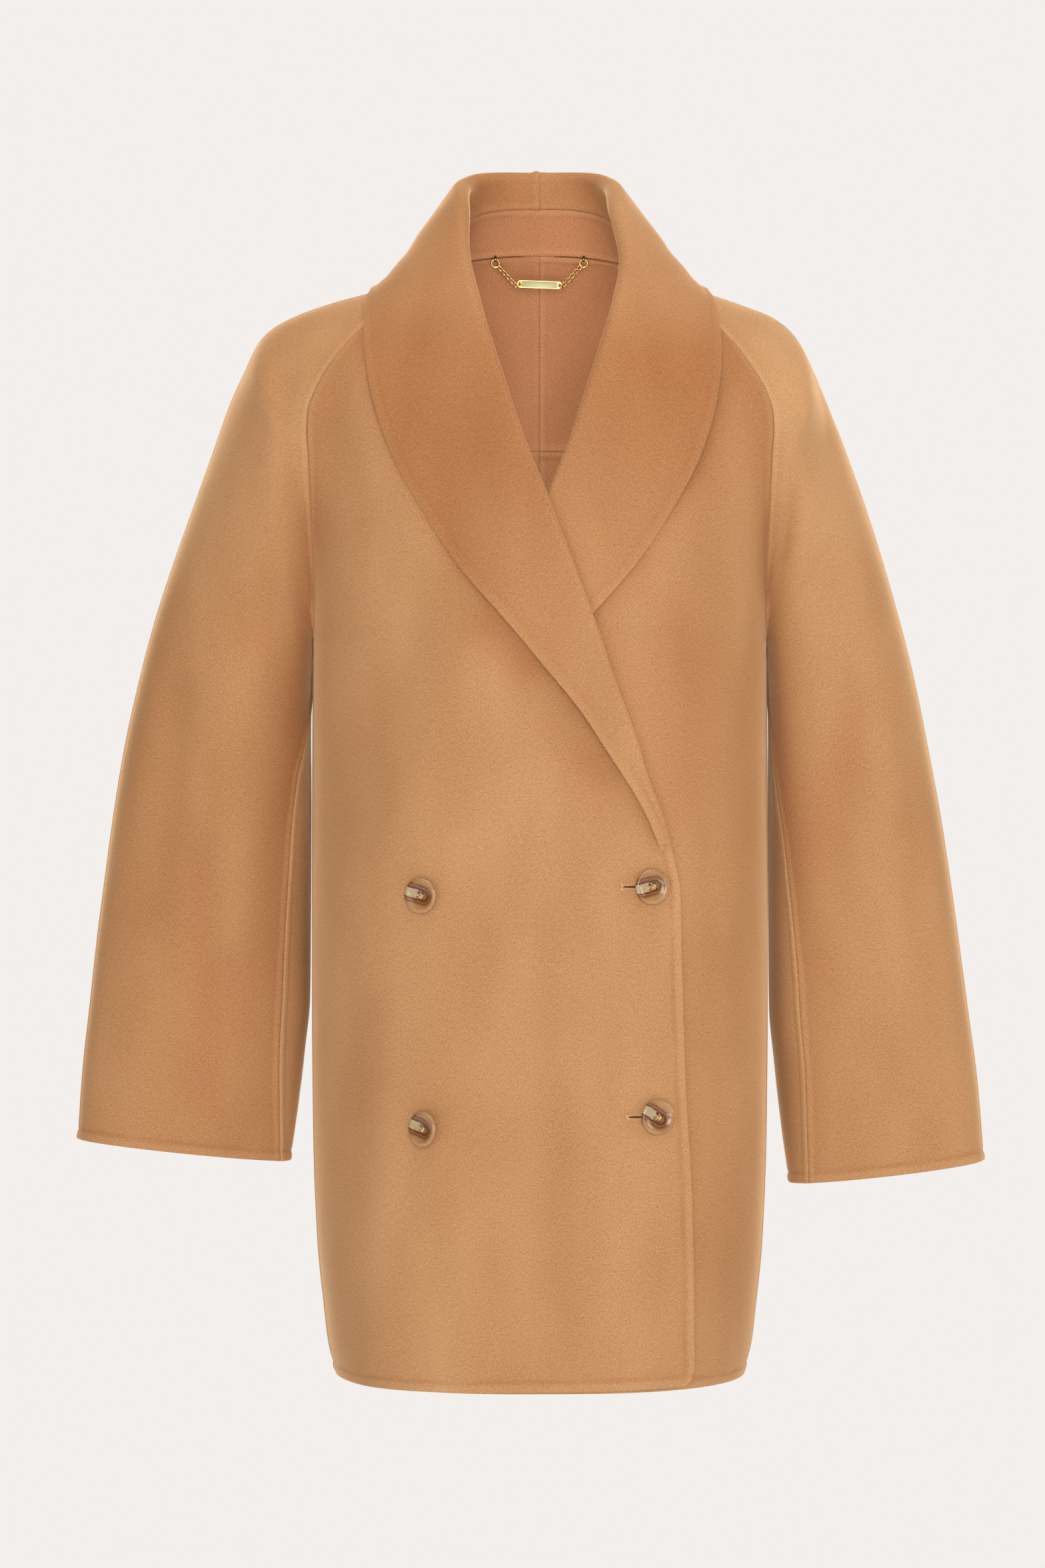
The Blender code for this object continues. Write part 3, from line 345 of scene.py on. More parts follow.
# Stage
MIDDLE_Z = -0.388
CAMERA_X = -0.013
PICTURE_HEIGHT = 2352
PIXEL = 0.0005              # size of a pixel of the full picture at the coat's middle
SENSOR = 36.0
CAMERA_REACH = 50.0
STAGE_WIDTH = 14.0
STAGE_RADIUS = 16.0
STAGE_HEIGHT = 7.0
STAGE_SWEEP = 2.0
STAGE_Z = -1.30
SWEEP_STEPS = 24
SKY_STRENGTH = 0.15
SKY_COLOUR = "#fffaf4"
LAMP_COLOUR = "#fff6ea"
AIM = (0.0, 0.0, -0.4)
LIGHTS = (                  # name, place, what it points at, size and watts
    ("Front", (0.15, -3.6, 0.15), AIM, (1.3, 1.3), 57.0), ("Side", (3.2, -0.6, 0.2), AIM, (1.5, 1.5), 30.0),
    ("Fill", (-1.6, -3.2, 0.0), AIM, (1.2, 1.8), 13.0), ("Top", (0.0, 0.1, 2.6), AIM, (2.2, 2.2), 52.0),
    ("High", (0.0, -2.0, 2.4), AIM, (1.6, 1.6), 23.0), ("Low", (0.0, -2.6, -1.1), AIM, (2.0, 0.3), 12.0),
    ("Behind", (-1.6, 3.0, 0.9), AIM, (2.0, 2.0), 38.0),
    ("Inside", (0.0, -0.06, -0.12), (0.0, 0.07, -0.12), (0.10, 0.20), 0.19))


def columns(names, rows):
    """A table as a dictionary of its named columns."""
    return dict(zip(names.split(), np.array(rows, dtype=float).T))


TORSO = columns("z half_width front_depth back_depth", (
    (-0.827, 0.1525, 0.1340, 0.1240),
    (-0.805, 0.1580, 0.1360, 0.1260),
    (-0.780, 0.1610, 0.1365, 0.1260),
    (-0.730, 0.1660, 0.1365, 0.1240),
    (-0.655, 0.1690, 0.1365, 0.1200),
    (-0.550, 0.1700, 0.1360, 0.1160),
    (-0.420, 0.1700, 0.1350, 0.1130),
    (-0.300, 0.1695, 0.1345, 0.1150),
    (-0.250, 0.1705, 0.1320, 0.1170),
    (-0.200, 0.1765, 0.1280, 0.1180),
    (-0.140, 0.1955, 0.1210, 0.1165),
    (-0.115, 0.2060, 0.1170, 0.1140),
    (-0.081, 0.1995, 0.1070, 0.1070),
    (-0.055, 0.1710, 0.0960, 0.0990),
    (-0.020, 0.1270, 0.0750, 0.0850),
    (-0.004, 0.0987, 0.0640, 0.0780),
    (0.0100, 0.0780, 0.0550, 0.0720),
    (0.0165, 0.0700, 0.0520, 0.0690)))

# Front edge below the break, visible roll line above it, on the wearer's right
FRONT_EDGE = columns("z x", (
    (-0.827, 0.1065), (-0.809, 0.1095), (-0.765, 0.1095), (-0.686, 0.1080), (-0.606, 0.1037),
    (-0.495, 0.1004), (-0.467, 0.0999), (-0.450, 0.0970), (-0.418, 0.0889), (-0.387, 0.0774),
    (-0.354, 0.0674), (-0.312, 0.0520), (-0.267, 0.0363), (-0.208, 0.0148), (-0.180, 0.0043),
    (-0.144, -0.0100), (-0.096, -0.0256), (-0.045, -0.0413), (-0.010, -0.0490)))

# Inside radius of the rolled fold of each collar half
ROLL = columns("z right left", (
    (-0.438, 0.0014, 0.0009), (-0.400, 0.0016, 0.0009), (-0.250, 0.0019, 0.0009),
    (-0.165, 0.0024, 0.0009), (-0.120, 0.0030, 0.0020), (-0.060, 0.0040, 0.0036),
    (-0.010, 0.0050, 0.0050)))

# Outer edge of the collar for each place on the roll line
FALL = columns("roll_z x z left_shift", (
    (-0.438, 0.0872, -0.4395, -0.002), (-0.425, 0.0825, -0.4285, -0.004),
    (-0.408, 0.0755, -0.4130, -0.005), (-0.387, 0.0655, -0.3940, -0.006),
    (-0.354, 0.0490, -0.3680, -0.007), (-0.312, 0.0290, -0.3370, -0.008),
    (-0.267, 0.0000, -0.3010, -0.008), (-0.232, -0.0240, -0.2720, -0.008),
    (-0.180, -0.0630, -0.2250, -0.009), (-0.144, -0.0850, -0.1910, -0.009),
    (-0.096, -0.1085, -0.1470, -0.008), (-0.045, -0.1225, -0.1050, -0.006),
    (-0.010, -0.1295, -0.0660, -0.004)))

# The collar round the neck: its fold and its outer edge from the front neck (0) to centre back (1)
NECK = columns("along fold_x fold_y fold_z edge_x edge_y edge_z band left_shift", (
    (0.10, -0.0560, -0.0500, 0.0180, -0.1300, -0.0670, -0.0480, 0.14, -0.0035),
    (0.20, -0.0585, -0.0340, 0.0380, -0.1280, -0.0480, -0.0325, 0.22, 0.0005),
    (0.30, -0.0598, -0.0140, 0.0520, -0.1245, -0.0270, -0.0210, 0.36, 0.0030),
    (0.42, -0.0595, 0.0100, 0.0620, -0.1210, 0.0080, -0.0160, 0.48, 0.0035),
    (0.56, -0.0545, 0.0330, 0.0695, -0.1135, 0.0360, -0.0165, 0.56, 0.0035),
    (0.70, -0.0435, 0.0505, 0.0750, -0.0970, 0.0620, -0.0175, 0.60, 0.0025),
    (0.85, -0.0235, 0.0640, 0.0775, -0.0550, 0.0830, -0.0175, 0.62, 0.0010),
    (1.00, 0.0000, 0.0685, 0.0778, 0.0000, 0.0905, -0.0175, 0.62, 0.0)))
EDGE_SHARE = 0.5           # share of the left shift that reaches the outer edge
NECK_TURN = 0.25           # share of the neck over which the fold turns from upright to level
FALL_CLEAR = 1.02          # the fall of the collar stays outside the body form by this factor
CLEAR_FADE = 0.010         # that clearance ends within this height of the neck's top
FALL_BOW = -0.001          # outward bow of the fall at the neck

# Lift of the right front over the left front, and more over the left lapel
LIFT = columns("z front lapel ramp", (
    (-0.827, 0.0034, 0.0, 0.034), (-0.700, 0.0034, 0.0, 0.045), (-0.510, 0.0034, 0.0, 0.050),
    (-0.460, 0.0036, 0.0050, 0.055), (-0.165, 0.0036, 0.0052, 0.065), (-0.130, 0.0026, 0.0022, 0.065),
    (-0.090, 0.0006, 0.0002, 0.065), (-0.050, 0.0, 0.0, 0.065)))
LIFT_START = 0.012         # the lift is full this far outside the left front's edge
LIFT_FADE = 0.050          # distance over which the lapel's share dies away again

# Raglan part of each sleeve: front and back seam places and the ridge over the arm
RAGLAN = columns("front_x front_z back_x back_z right_x right_z left_x left_z ridge_y", (
    (0.0820, -0.010, 0.0600, 0.010, 0.0820, 0.0050, 0.0820, 0.0050, 0.000),
    (0.1010, -0.025, 0.0800, -0.006, 0.1050, -0.0100, 0.1040, -0.0110, 0.000),
    (0.1180, -0.040, 0.1020, -0.022, 0.1270, -0.0205, 0.1250, -0.0210, 0.000),
    (0.1350, -0.057, 0.1230, -0.040, 0.1525, -0.0275, 0.1470, -0.0285, 0.001),
    (0.1520, -0.078, 0.1420, -0.060, 0.1815, -0.0375, 0.1730, -0.0385, 0.002),
    (0.1650, -0.100, 0.1570, -0.082, 0.2005, -0.0475, 0.1870, -0.0485, 0.004),
    (0.1700, -0.115, 0.1680, -0.106, 0.2105, -0.0575, 0.1955, -0.0595, 0.005),
    (0.1710, -0.130, 0.1730, -0.130, 0.2160, -0.0675, 0.2010, -0.0700, 0.006),
    (0.1700, -0.150, 0.1745, -0.155, 0.2205, -0.0775, 0.2060, -0.0810, 0.008),
    (0.1690, -0.190, 0.1735, -0.190, 0.2335, -0.1050, 0.2170, -0.1070, 0.010),
    (0.1675, -0.230, 0.1710, -0.230, 0.2420, -0.1300, 0.2270, -0.1310, 0.012),
    (0.1680, -0.262, 0.1690, -0.262, 0.2510, -0.1550, 0.2360, -0.1550, 0.014),
    (0.1710, -0.290, 0.1710, -0.290, 0.2605, -0.1800, 0.2455, -0.1800, 0.016)))

# Tube of each sleeve: its inner side, its ridge and half its depth
TUBE = columns("inner_x right_inner_z right_x right_z left_inner_z left_x left_z inner_y ridge_y "
               "right_depth left_depth right_seam left_seam", (
    (0.1715, -0.315, 0.2695, -0.205, -0.3150, 0.2540, -0.206, 0.010, 0.018, 0.069, 0.070, 0.010, 0.010),
    (0.1722, -0.355, 0.2880, -0.255, -0.3570, 0.2690, -0.257, 0.020, 0.020, 0.070, 0.072, 0.095, 0.080),
    (0.1727, -0.395, 0.3005, -0.305, -0.3980, 0.2820, -0.308, 0.028, 0.022, 0.068, 0.072, 0.165, 0.130),
    (0.1730, -0.430, 0.3120, -0.355, -0.4350, 0.2920, -0.358, 0.032, 0.024, 0.065, 0.070, 0.188, 0.174),
    (0.1732, -0.465, 0.3205, -0.405, -0.4720, 0.3015, -0.408, 0.034, 0.025, 0.061, 0.067, 0.198, 0.199),
    (0.1735, -0.505, 0.3275, -0.455, -0.5130, 0.3095, -0.459, 0.035, 0.026, 0.058, 0.064, 0.209, 0.222),
    (0.1740, -0.548, 0.3340, -0.505, -0.5570, 0.3165, -0.510, 0.035, 0.026, 0.054, 0.061, 0.214, 0.236),
    (0.1780, -0.590, 0.3395, -0.555, -0.6010, 0.3235, -0.562, 0.035, 0.026, 0.049, 0.057, 0.204, 0.233),
    (0.1830, -0.632, 0.3450, -0.605, -0.6460, 0.3305, -0.616, 0.034, 0.026, 0.044, 0.052, 0.172, 0.213),
    (0.1890, -0.673, 0.3485, -0.656, -0.6895, 0.3350, -0.672, 0.033, 0.026, 0.038, 0.046, 0.125, 0.185)))
CAP_REACH = (0.36, 0.61)   # handle length of a raglan section as a share of its chord, top and bottom
TUBE_REACH = 4 / 3         # handle length that gives a half tube its depth

# Soft folds pressed into the front of the sleeves, by station down the sleeve and place across it
SLEEVE_FOLDS = columns("left station across length width slant depth", (
    (1, 9.5, 0.62, 2.6, 0.16, -0.070, 0.0060),
    (1, 13.5, 0.45, 2.2, 0.15, -0.050, 0.0030),
    (0, 9.0, 0.42, 2.4, 0.15, 0.030, 0.0045),
    (0, 16.0, 0.60, 2.6, 0.18, -0.040, 0.0025)))
FOLD_MARGIN = 0.2          # share of the panel beside each seam where folds die away


def unit(vectors):
    """The same directions with length one."""
    return vectors / np.linalg.norm(vectors, axis=-1, keepdims=True)


def dot(first, second):
    """Dot products along the last axis, kept as a column."""
    return np.sum(first * second, axis=-1, keepdims=True)


def ease(share):
    """Smooth step from 0 to 1."""
    share = np.clip(share, 0.0, 1.0)
    return share * share * (3 - 2 * share)


def fading(distance, reach):
    """Nearness to a place: 1 on it, dying away over a reach."""
    return np.exp(-(distance / reach) ** 2)


def curve(at, xs, ys):
    """Values of the smooth curve through the points (xs, ys), without overshoot."""
    at = np.clip(at, xs[0], xs[-1])
    steps = np.diff(xs)
    slopes = np.diff(ys) / steps
    before, after = slopes[:-1], slopes[1:]
    same_way = before * after > 0
    middle = np.where(same_way, 2 * before * after / np.where(same_way, before + after, 1.0), 0.0)
    tangents = np.concatenate((slopes[:1], middle, slopes[-1:]))
    i = np.clip(np.searchsorted(xs, at, side="right") - 1, 0, len(steps) - 1)
    t = (at - xs[i]) / steps[i]
    ends = (1 + 2 * t) * (1 - t) ** 2 * ys[i] + t * t * (3 - 2 * t) * ys[i + 1]
    return ends + steps[i] * t * (1 - t) * ((1 - t) * tangents[i] - t * tangents[i + 1])


def points(x, y, z):
    """Coordinates joined into an array of points."""
    return np.stack(np.broadcast_arrays(x, y, z), axis=-1).astype(float)


def depth_name(face):
    """Name of the depth column of the front (-1) or back (+1) of the body form."""
    return "front_depth" if face < 0 else "back_depth"


def body_angle(x, z):
    """Angle round the body form, 0 at its middle, of the place at x."""
    share = np.clip(np.abs(x) / curve(z, TORSO["z"], TORSO["half_width"]), 0.0, 1.0)
    return np.sign(x) * np.arcsin(share ** (SQUARENESS / 2))


def body(angle, z, face):
    """Points of the body form's front (face -1) or back (face +1)."""
    half_width = curve(z, TORSO["z"], TORSO["half_width"])
    depth = curve(z, TORSO["z"], TORSO[depth_name(face)])
    sine, cosine = np.sin(angle), np.abs(np.cos(angle))
    x = half_width * np.sign(sine) * np.abs(sine) ** (2 / SQUARENESS)
    return points(x, face * depth * cosine ** (2 / SQUARENESS), z)


def body_normal(at, face):
    """Outward directions of the body form at points on it."""
    x, y, z = np.moveaxis(at, -1, 0)
    parts = []
    slope = 0.0
    for value, column in ((x, "half_width"), (y, depth_name(face))):
        size = curve(z, TORSO["z"], TORSO[column])
        above = curve(z + SLOPE_REACH, TORSO["z"], TORSO[column])
        below = curve(z - SLOPE_REACH, TORSO["z"], TORSO[column])
        growth = (above - below) / (2 * SLOPE_REACH)
        share = np.abs(value) / size
        sign = np.sign(value) if column == "half_width" else face
        parts.append(sign * share ** (SQUARENESS - 1) / size)
        slope = slope - share ** SQUARENESS * growth / size
    return unit(points(parts[0], parts[1], slope))


def left_shift(z):
    """Sideways shift of the left front's edge and roll line."""
    grown = ease((z - LEFT_EDGE_FROM) / LEFT_EDGE_OVER)
    return LEFT_EDGE_SHIFT * (LEFT_EDGE_LOW + (1 - LEFT_EDGE_LOW) * grown)


def edge_x(z, half):
    """Visible front edge or roll line of one half."""
    shift = left_shift(z) if half == "left" else 0.0
    return curve(z, FRONT_EDGE["z"], FRONT_EDGE["x"]) + shift


def overlap_lift(x, z):
    """How far the right front stands off the body form, over the left front."""
    start = -edge_x(z, "left") - LIFT_START
    ramp = curve(z, LIFT["z"], LIFT["ramp"])
    grown = ease((x - start + ramp) / ramp)
    lapel_end = -curve(z, FALL["z"], FALL["x"] + FALL["left_shift"])
    faded = 1 - ease((x - lapel_end - LIFT_START) / LIFT_FADE)
    front = curve(z, LIFT["z"], LIFT["front"])
    return grown * (front + faded * curve(z, LIFT["z"], LIFT["lapel"]))


def front_shell(x, z, half, height=0.0):
    """Points of a front at x and z, moved out by a height."""
    at = body(body_angle(x, z), z, -1)
    lift = overlap_lift(x, z) if half == "right" else 0.0
    return at + body_normal(at, -1) * np.expand_dims(lift + height, -1)


def bezier(handles, t):
    """Points at t on the curve of each row of handles."""
    t = t[..., None]
    a, b, c, d = (handles[:, i, None, :] for i in range(4))
    return (1 - t) ** 3 * a + 3 * t * (1 - t) ** 2 * b + 3 * t * t * (1 - t) * c + t ** 3 * d


def along_ring(ring):
    """Share of the way along a line of points."""
    length = lengths(ring[None], 1)[0]
    return length / length[-1]


def clear_of_body(at):
    """Points pushed out of the body form where they come too close."""
    x, y, z = np.moveaxis(at, -1, 0)
    wide = np.abs(x) / curve(z, TORSO["z"], TORSO["half_width"])
    front = curve(z, TORSO["z"], TORSO["front_depth"])
    back = curve(z, TORSO["z"], TORSO["back_depth"])
    deep = np.abs(y) / np.where(y < 0, front, back)
    size = (wide ** SQUARENESS + deep ** SQUARENESS) ** (1 / SQUARENESS)
    low = ease((TORSO["z"][-1] + CLEAR_FADE - z) / (2 * CLEAR_FADE))
    push = 1 + (np.maximum(FALL_CLEAR / size, 1.0) - 1) * low
    return points(x * push, y * push, z)


def mirrored(grid):
    """The same points on the other side of the body."""
    return grid * np.array((-1.0, 1.0, 1.0))


def refined(table, at):
    """A table's columns at places between its rows."""
    rows = np.arange(len(next(iter(table.values()))))
    return {name: curve(at, rows, values) for name, values in table.items()}


def along_rows(values, at):
    """Rows of an array at places between them."""
    flat = values.reshape(len(values), -1).T
    rows = np.arange(len(values))
    return np.stack([curve(at, rows, column) for column in flat], axis=1).reshape(-1, *values.shape[1:])


def spread(low, high, step, at_low, at_high, size=1.0):
    """Places from low to high: dense beside the ends that are cut edges, a step apart between them."""
    first = low + EDGE_STEPS / size if at_low else np.array((low,))
    last = high - EDGE_STEPS[::-1] / size if at_high else np.array((high,))
    count = max(round((last[0] - first[-1]) / step), 1)
    return np.concatenate((first, np.linspace(first[-1], last[0], count + 1)[1:-1], last))


# Rows of the body below the underarm, and stations down the raglan seam and the sleeve
LOW_Z = spread(HEM_Z, RAGLAN["front_z"][-1], ROW_STEP, True, False)[:-1]
RAGLAN_END = len(RAGLAN["front_z"]) - 1
SLEEVE_END = RAGLAN_END + len(TUBE["inner_x"])
RAGLAN_AT = np.concatenate((
    spread(0, YOKE_STATION, 1 / STATION_ROWS, True, True, STATION_SIZE)[:-1],
    spread(YOKE_STATION, RAGLAN_END, 1 / STATION_ROWS, True, False, STATION_SIZE)))
SLEEVE_AT = np.concatenate((
    RAGLAN_AT[:-1], spread(RAGLAN_END, SLEEVE_END, 1 / TUBE_ROWS, False, True, TUBE_SIZE)))
RAGLAN_FINE = refined(RAGLAN, RAGLAN_AT)


def lengths(grid, axis):
    """Distance of every point from the first one along its row (axis 1) or column (axis 0)."""
    steps = np.linalg.norm(np.diff(grid, axis=axis), axis=2)
    start = np.zeros_like(np.take(steps, (0,), axis=axis))
    return np.concatenate((start, np.cumsum(steps, axis=axis)), axis=axis)


def points_at(places, along, line):
    """Points of a line at places along it."""
    return np.stack([np.interp(places, along, column) for column in line.T], axis=-1)


def by_length(dense, middle, at_start=True, at_end=True):
    """Rows laid out anew by length, dense beside cut edges, with so many columns between them."""
    rows = []
    for row, length in zip(dense, lengths(dense, 1)):
        total = length[-1]
        steps = EDGE_STEPS * min(1.0, EDGE_LIMIT * total / EDGE_STEPS[-1])
        first = steps if at_start else steps[:1]
        last = total - (steps[::-1] if at_end else steps[:1])
        places = np.concatenate((first, np.linspace(first[-1], last[0], middle + 2)[1:-1], last))
        rows.append(points_at(places, length, row))
    return np.array(rows)


def by_rows(grid, step):
    """Rows laid out anew along the mean length of a grid's columns, dense at both ends."""
    length = lengths(grid, 0).mean(axis=1)
    places = spread(0.0, length[-1], step, True, True)
    return points_at(places, length, grid.reshape(len(grid), -1)).reshape(-1, *grid.shape[1:])


def smoothed(grid, weight, passes):
    """A grid evened out along its columns where the weight is high."""
    grid = grid.copy()
    for _ in range(passes):
        mean = (grid[:-2] + grid[2:]) / 2
        grid[1:-1] += (mean - grid[1:-1]) * weight[1:-1, :, None] / 2
    return grid


def tip_share(z):
    """How much of its full thickness the lapel has at a height: it thins out to its lower tip."""
    return TIP_THIN + (1 - TIP_THIN) * ease((z - BREAK_Z) / TIP_LENGTH)


def panel_edge_x(z, half):
    """Where a front's own cloth ends: its edge, or the start of the rolled fold."""
    grown = ease((z - BREAK_LOW) / (BREAK_Z - BREAK_LOW)) * tip_share(z)
    return edge_x(z, half) - (curve(z, ROLL["z"], ROLL[half]) + CLOTH) * grown


def front_grid(half):
    """Outer points of a front: rows up from the hem, columns from the side to the front edge."""
    z = np.concatenate((LOW_Z, RAGLAN_FINE["front_z"][::-1]))[:, None]
    share = np.linspace(0, 1, DENSE)[None, :]
    seam_x = np.concatenate((np.full(len(LOW_Z), np.inf), RAGLAN_FINE["front_x"][::-1]))[:, None]
    side = body_angle(-seam_x, z)
    angle = side + (body_angle(panel_edge_x(z, half), z) - side) * share
    z = z + np.zeros_like(angle)
    if half == "right":
        z = z + HEM_RISE * share ** 2 * (1 - ease((z - HEM_Z) / HEM_RISE_OVER))
    x = body(angle, z, -1)[..., 0]
    return by_length(front_shell(x, z, half), FRONT_MIDDLE)


def back_grid():
    """Outer points of half the back: rows up from the hem, columns from centre back to the side."""
    z = np.concatenate((LOW_Z, RAGLAN_FINE["back_z"][::-1]))[:, None]
    share = np.linspace(0, 1, DENSE)[None, :]
    seam_x = np.concatenate((np.full(len(LOW_Z), np.inf), RAGLAN_FINE["back_x"][::-1]))[:, None]
    angle = body_angle(-seam_x, z) * share
    z = z + NECK_RISE * (1 - share ** 2) * (1 - ease((RAGLAN["back_z"][0] - z) / NECK_RISE_OVER))
    return by_length(body(angle, z, 1), BACK_MIDDLE)


def raglan_seam(table, face):
    """Points of the raglan seam on the front or back of the body form, from the neck down."""
    name = "front" if face < 0 else "back"
    return body(body_angle(-table[name + "_x"], table[name + "_z"]), table[name + "_z"], face)


def sleeve_handles(half, face):
    """Bezier points of the front or back half of each sleeve section, from inner side to ridge."""
    seam = raglan_seam(RAGLAN, face)
    ridge = points(-RAGLAN[half + "_x"], RAGLAN["ridge_y"], RAGLAN[half + "_z"])
    chord = ridge - seam
    length = np.linalg.norm(chord, axis=1, keepdims=True)
    share = np.linspace(0, 1, len(seam))[:, None]
    outward = points(-np.cos(share * pi / 2), face * np.sin(share * pi / 2), 0.0)[:, 0]
    leave = unit((1 - share) * chord / length + share * outward)
    reach = length * (CAP_REACH[0] + (CAP_REACH[1] - CAP_REACH[0]) * share ** 3)
    across = np.array((0.0, face, 0.0))
    cap = np.stack((seam, seam + leave * reach, ridge + across * reach, ridge), axis=1)
    inner = points(-TUBE["inner_x"], TUBE["inner_y"], TUBE[half + "_inner_z"])
    outer = points(-TUBE[half + "_x"], TUBE["ridge_y"], TUBE[half + "_z"])
    depth = across * TUBE_REACH * TUBE[half + "_depth"][:, None]
    tube = np.stack((inner, inner + depth, outer + depth, outer), axis=1)
    handles = along_rows(np.concatenate((cap, tube)), SLEEVE_AT)
    sewn = raglan_seam(RAGLAN_FINE, face) - handles[:len(RAGLAN_AT), 0]
    handles[:len(RAGLAN_AT), :2] += sewn[:, None]
    return handles


def press_folds(grid, half):
    """The front panel of a sleeve with its soft folds pressed in."""
    across = lengths(grid, 1)
    across = across / across[:, -1:]
    depth = np.zeros(grid.shape[:2])
    for left, station, place, length, width, slant, deep in zip(*SLEEVE_FOLDS.values()):
        if bool(left) == (half == "left"):
            down = SLEEVE_AT[:, None] - station
            depth += deep * fading(down, length) * fading(across - place - slant * down, width)
    depth *= ease(across / FOLD_MARGIN) * ease((1 - across) / FOLD_MARGIN)
    return grid + points(0.0, 1.0, 0.0) * depth[..., None]


def eased_turn(grid, from_seam):
    """A sleeve panel with the turn below the armhole evened out, except at the seam itself."""
    near = fading(SLEEVE_AT - TURN_AT, TURN_REACH)[:, None]
    return smoothed(grid, near * ease(from_seam / TURN_CLEAR), TURN_PASSES)


def sleeve_grids(half):
    """Outer points of a sleeve's two panels: rows down the sleeve, columns round it."""
    front, back = sleeve_handles(half, -1), sleeve_handles(half, 1)
    seam = np.concatenate((np.zeros(RAGLAN_END + 1), TUBE[half + "_seam"]))
    seam = curve(SLEEVE_AT, np.arange(SLEEVE_END + 1), seam)[:, None]
    share = np.linspace(0, 1, DENSE)[None, :]
    front_panel = bezier(front, seam + (1 - seam) * share)
    round_back = (1 + seam) * share
    back_panel = np.where((round_back <= 1)[..., None],
                          bezier(back, 1 - np.minimum(round_back, 1)),
                          bezier(front, np.maximum(round_back - 1, 0)))
    front_panel = by_length(front_panel, SLEEVE_MIDDLE)
    back_panel = by_length(back_panel, SLEEVE_MIDDLE)
    front_panel = eased_turn(front_panel, lengths(front_panel, 1))
    from_seam = lengths(back_panel, 1)
    back_panel = eased_turn(back_panel, from_seam[:, -1:] - from_seam)
    return press_folds(front_panel, half), back_panel


def curl(start, up, out, radius, end_angle):
    """Points round a rolled fold that starts along `up` and turns towards `out`."""
    angle = np.linspace(0, 1, CURL_DENSE)[None, :, None] * end_angle[:, None, None]
    radius = radius[:, None, None]
    return (start[:, None] + up[:, None] * radius * np.sin(angle)
            + out[:, None] * radius * (1 - np.cos(angle)))


def lapel_grid(half, front):
    """Under side of the collar on the front: it rolls off the panel's edge and lies on the panel."""
    start = front[front[:, -1, 2] >= BREAK_Z, -1]
    x, _, z = start.T
    out = body_normal(start, -1)
    up = unit(np.cross(np.gradient(start, axis=0), out))
    radius = curve(z, ROLL["z"], ROLL[half]) * tip_share(z)
    rolled = curl(start, up, out, radius, np.full(len(z), pi))
    shift = FALL["left_shift"] if half == "left" else 0.0
    edge_at = curve(z, FALL["roll_z"], FALL["x"] + shift)
    edge_z = curve(z, FALL["roll_z"], FALL["z"])
    share = np.linspace(0, 1, FALL_DENSE)[None, :]
    gap = LAY_GAP * tip_share(z)[:, None]
    sunk = TIP_SUNK * (1 - ease((z - BREAK_Z) / TIP_LENGTH))[:, None]
    height = gap + (2 * radius[:, None] - gap) * (1 - share) ** 2 - sunk * share
    fall = front_shell(x[:, None] + (edge_at - x)[:, None] * share,
                       z[:, None] + (edge_z - z)[:, None] * share, half, height)
    fall += (rolled[:, -1:] - fall[:, :1]) * ((1 - share) ** ROLL_JOIN)[..., None]
    return np.concatenate((rolled, fall), axis=1), up[-1], out[-1]


def neck_collar_grid(half, ring, corner, lapel, up_front, out_front):
    """Under side of the collar round the neck, and the top of the neck band at each place."""
    along = along_ring(ring)
    up_front, out_front = up_front[None], out_front[None]
    radius = np.full(len(ring), ROLL[half][-1])
    first_fold = ring[0] + (up_front[0] + out_front[0]) * radius[0]
    place = np.concatenate(((0.0,), NECK["along"]))

    def ring_of(name, first, shift):
        line = np.stack([NECK[name + "_" + axis] for axis in "xyz"])
        if half == "left":
            line[0] += NECK["left_shift"] * shift
        return np.stack([curve(along, place, np.concatenate(((begin,), values)))
                         for begin, values in zip(first, line)], axis=1)

    fold = ring_of("fold", first_fold, 1.0)
    edge = ring_of("edge", lapel[-1, -1], EDGE_SHARE)
    turn = ease(along / NECK_TURN)[:, None]
    away = edge - fold
    away[:, 2] = 0.0
    out = unit((1 - turn) * out_front + turn * unit(away))
    up = (1 - turn) * up_front + turn * np.array(((0.0, 0.0, 1.0),))
    up = unit(up - out * dot(up, out))
    stand_top = fold - (up + out) * radius[:, None]
    band = curve(along, NECK["along"], NECK["band"]) * ease((along - corner) / BAND_TAPER)
    start = ring + (stand_top - ring) * band[:, None]
    down = edge - fold
    end_angle = np.arctan2(dot(down, out), dot(down, up))[:, 0]
    end_angle = np.where(end_angle < 0, pi, end_angle)
    end_angle = pi + (end_angle - pi) * turn[:, 0]
    rolled = curl(stand_top, up, out, radius, end_angle)
    rolled[:, 0] = start
    share = np.linspace(0, 1, FALL_DENSE)[None, :, None]
    fall = rolled[:, -1:] + (edge[:, None] - rolled[:, -1:]) * share
    fall += out[:, None] * FALL_BOW * np.sin(pi * share) ** 2 * turn[:, None]
    grid = np.concatenate((rolled, clear_of_body(fall)), axis=1)
    grid += (lapel[-1] - grid[0])[None] * (1 - ease(along / NECK_TURN))[:, None, None]
    return grid, start


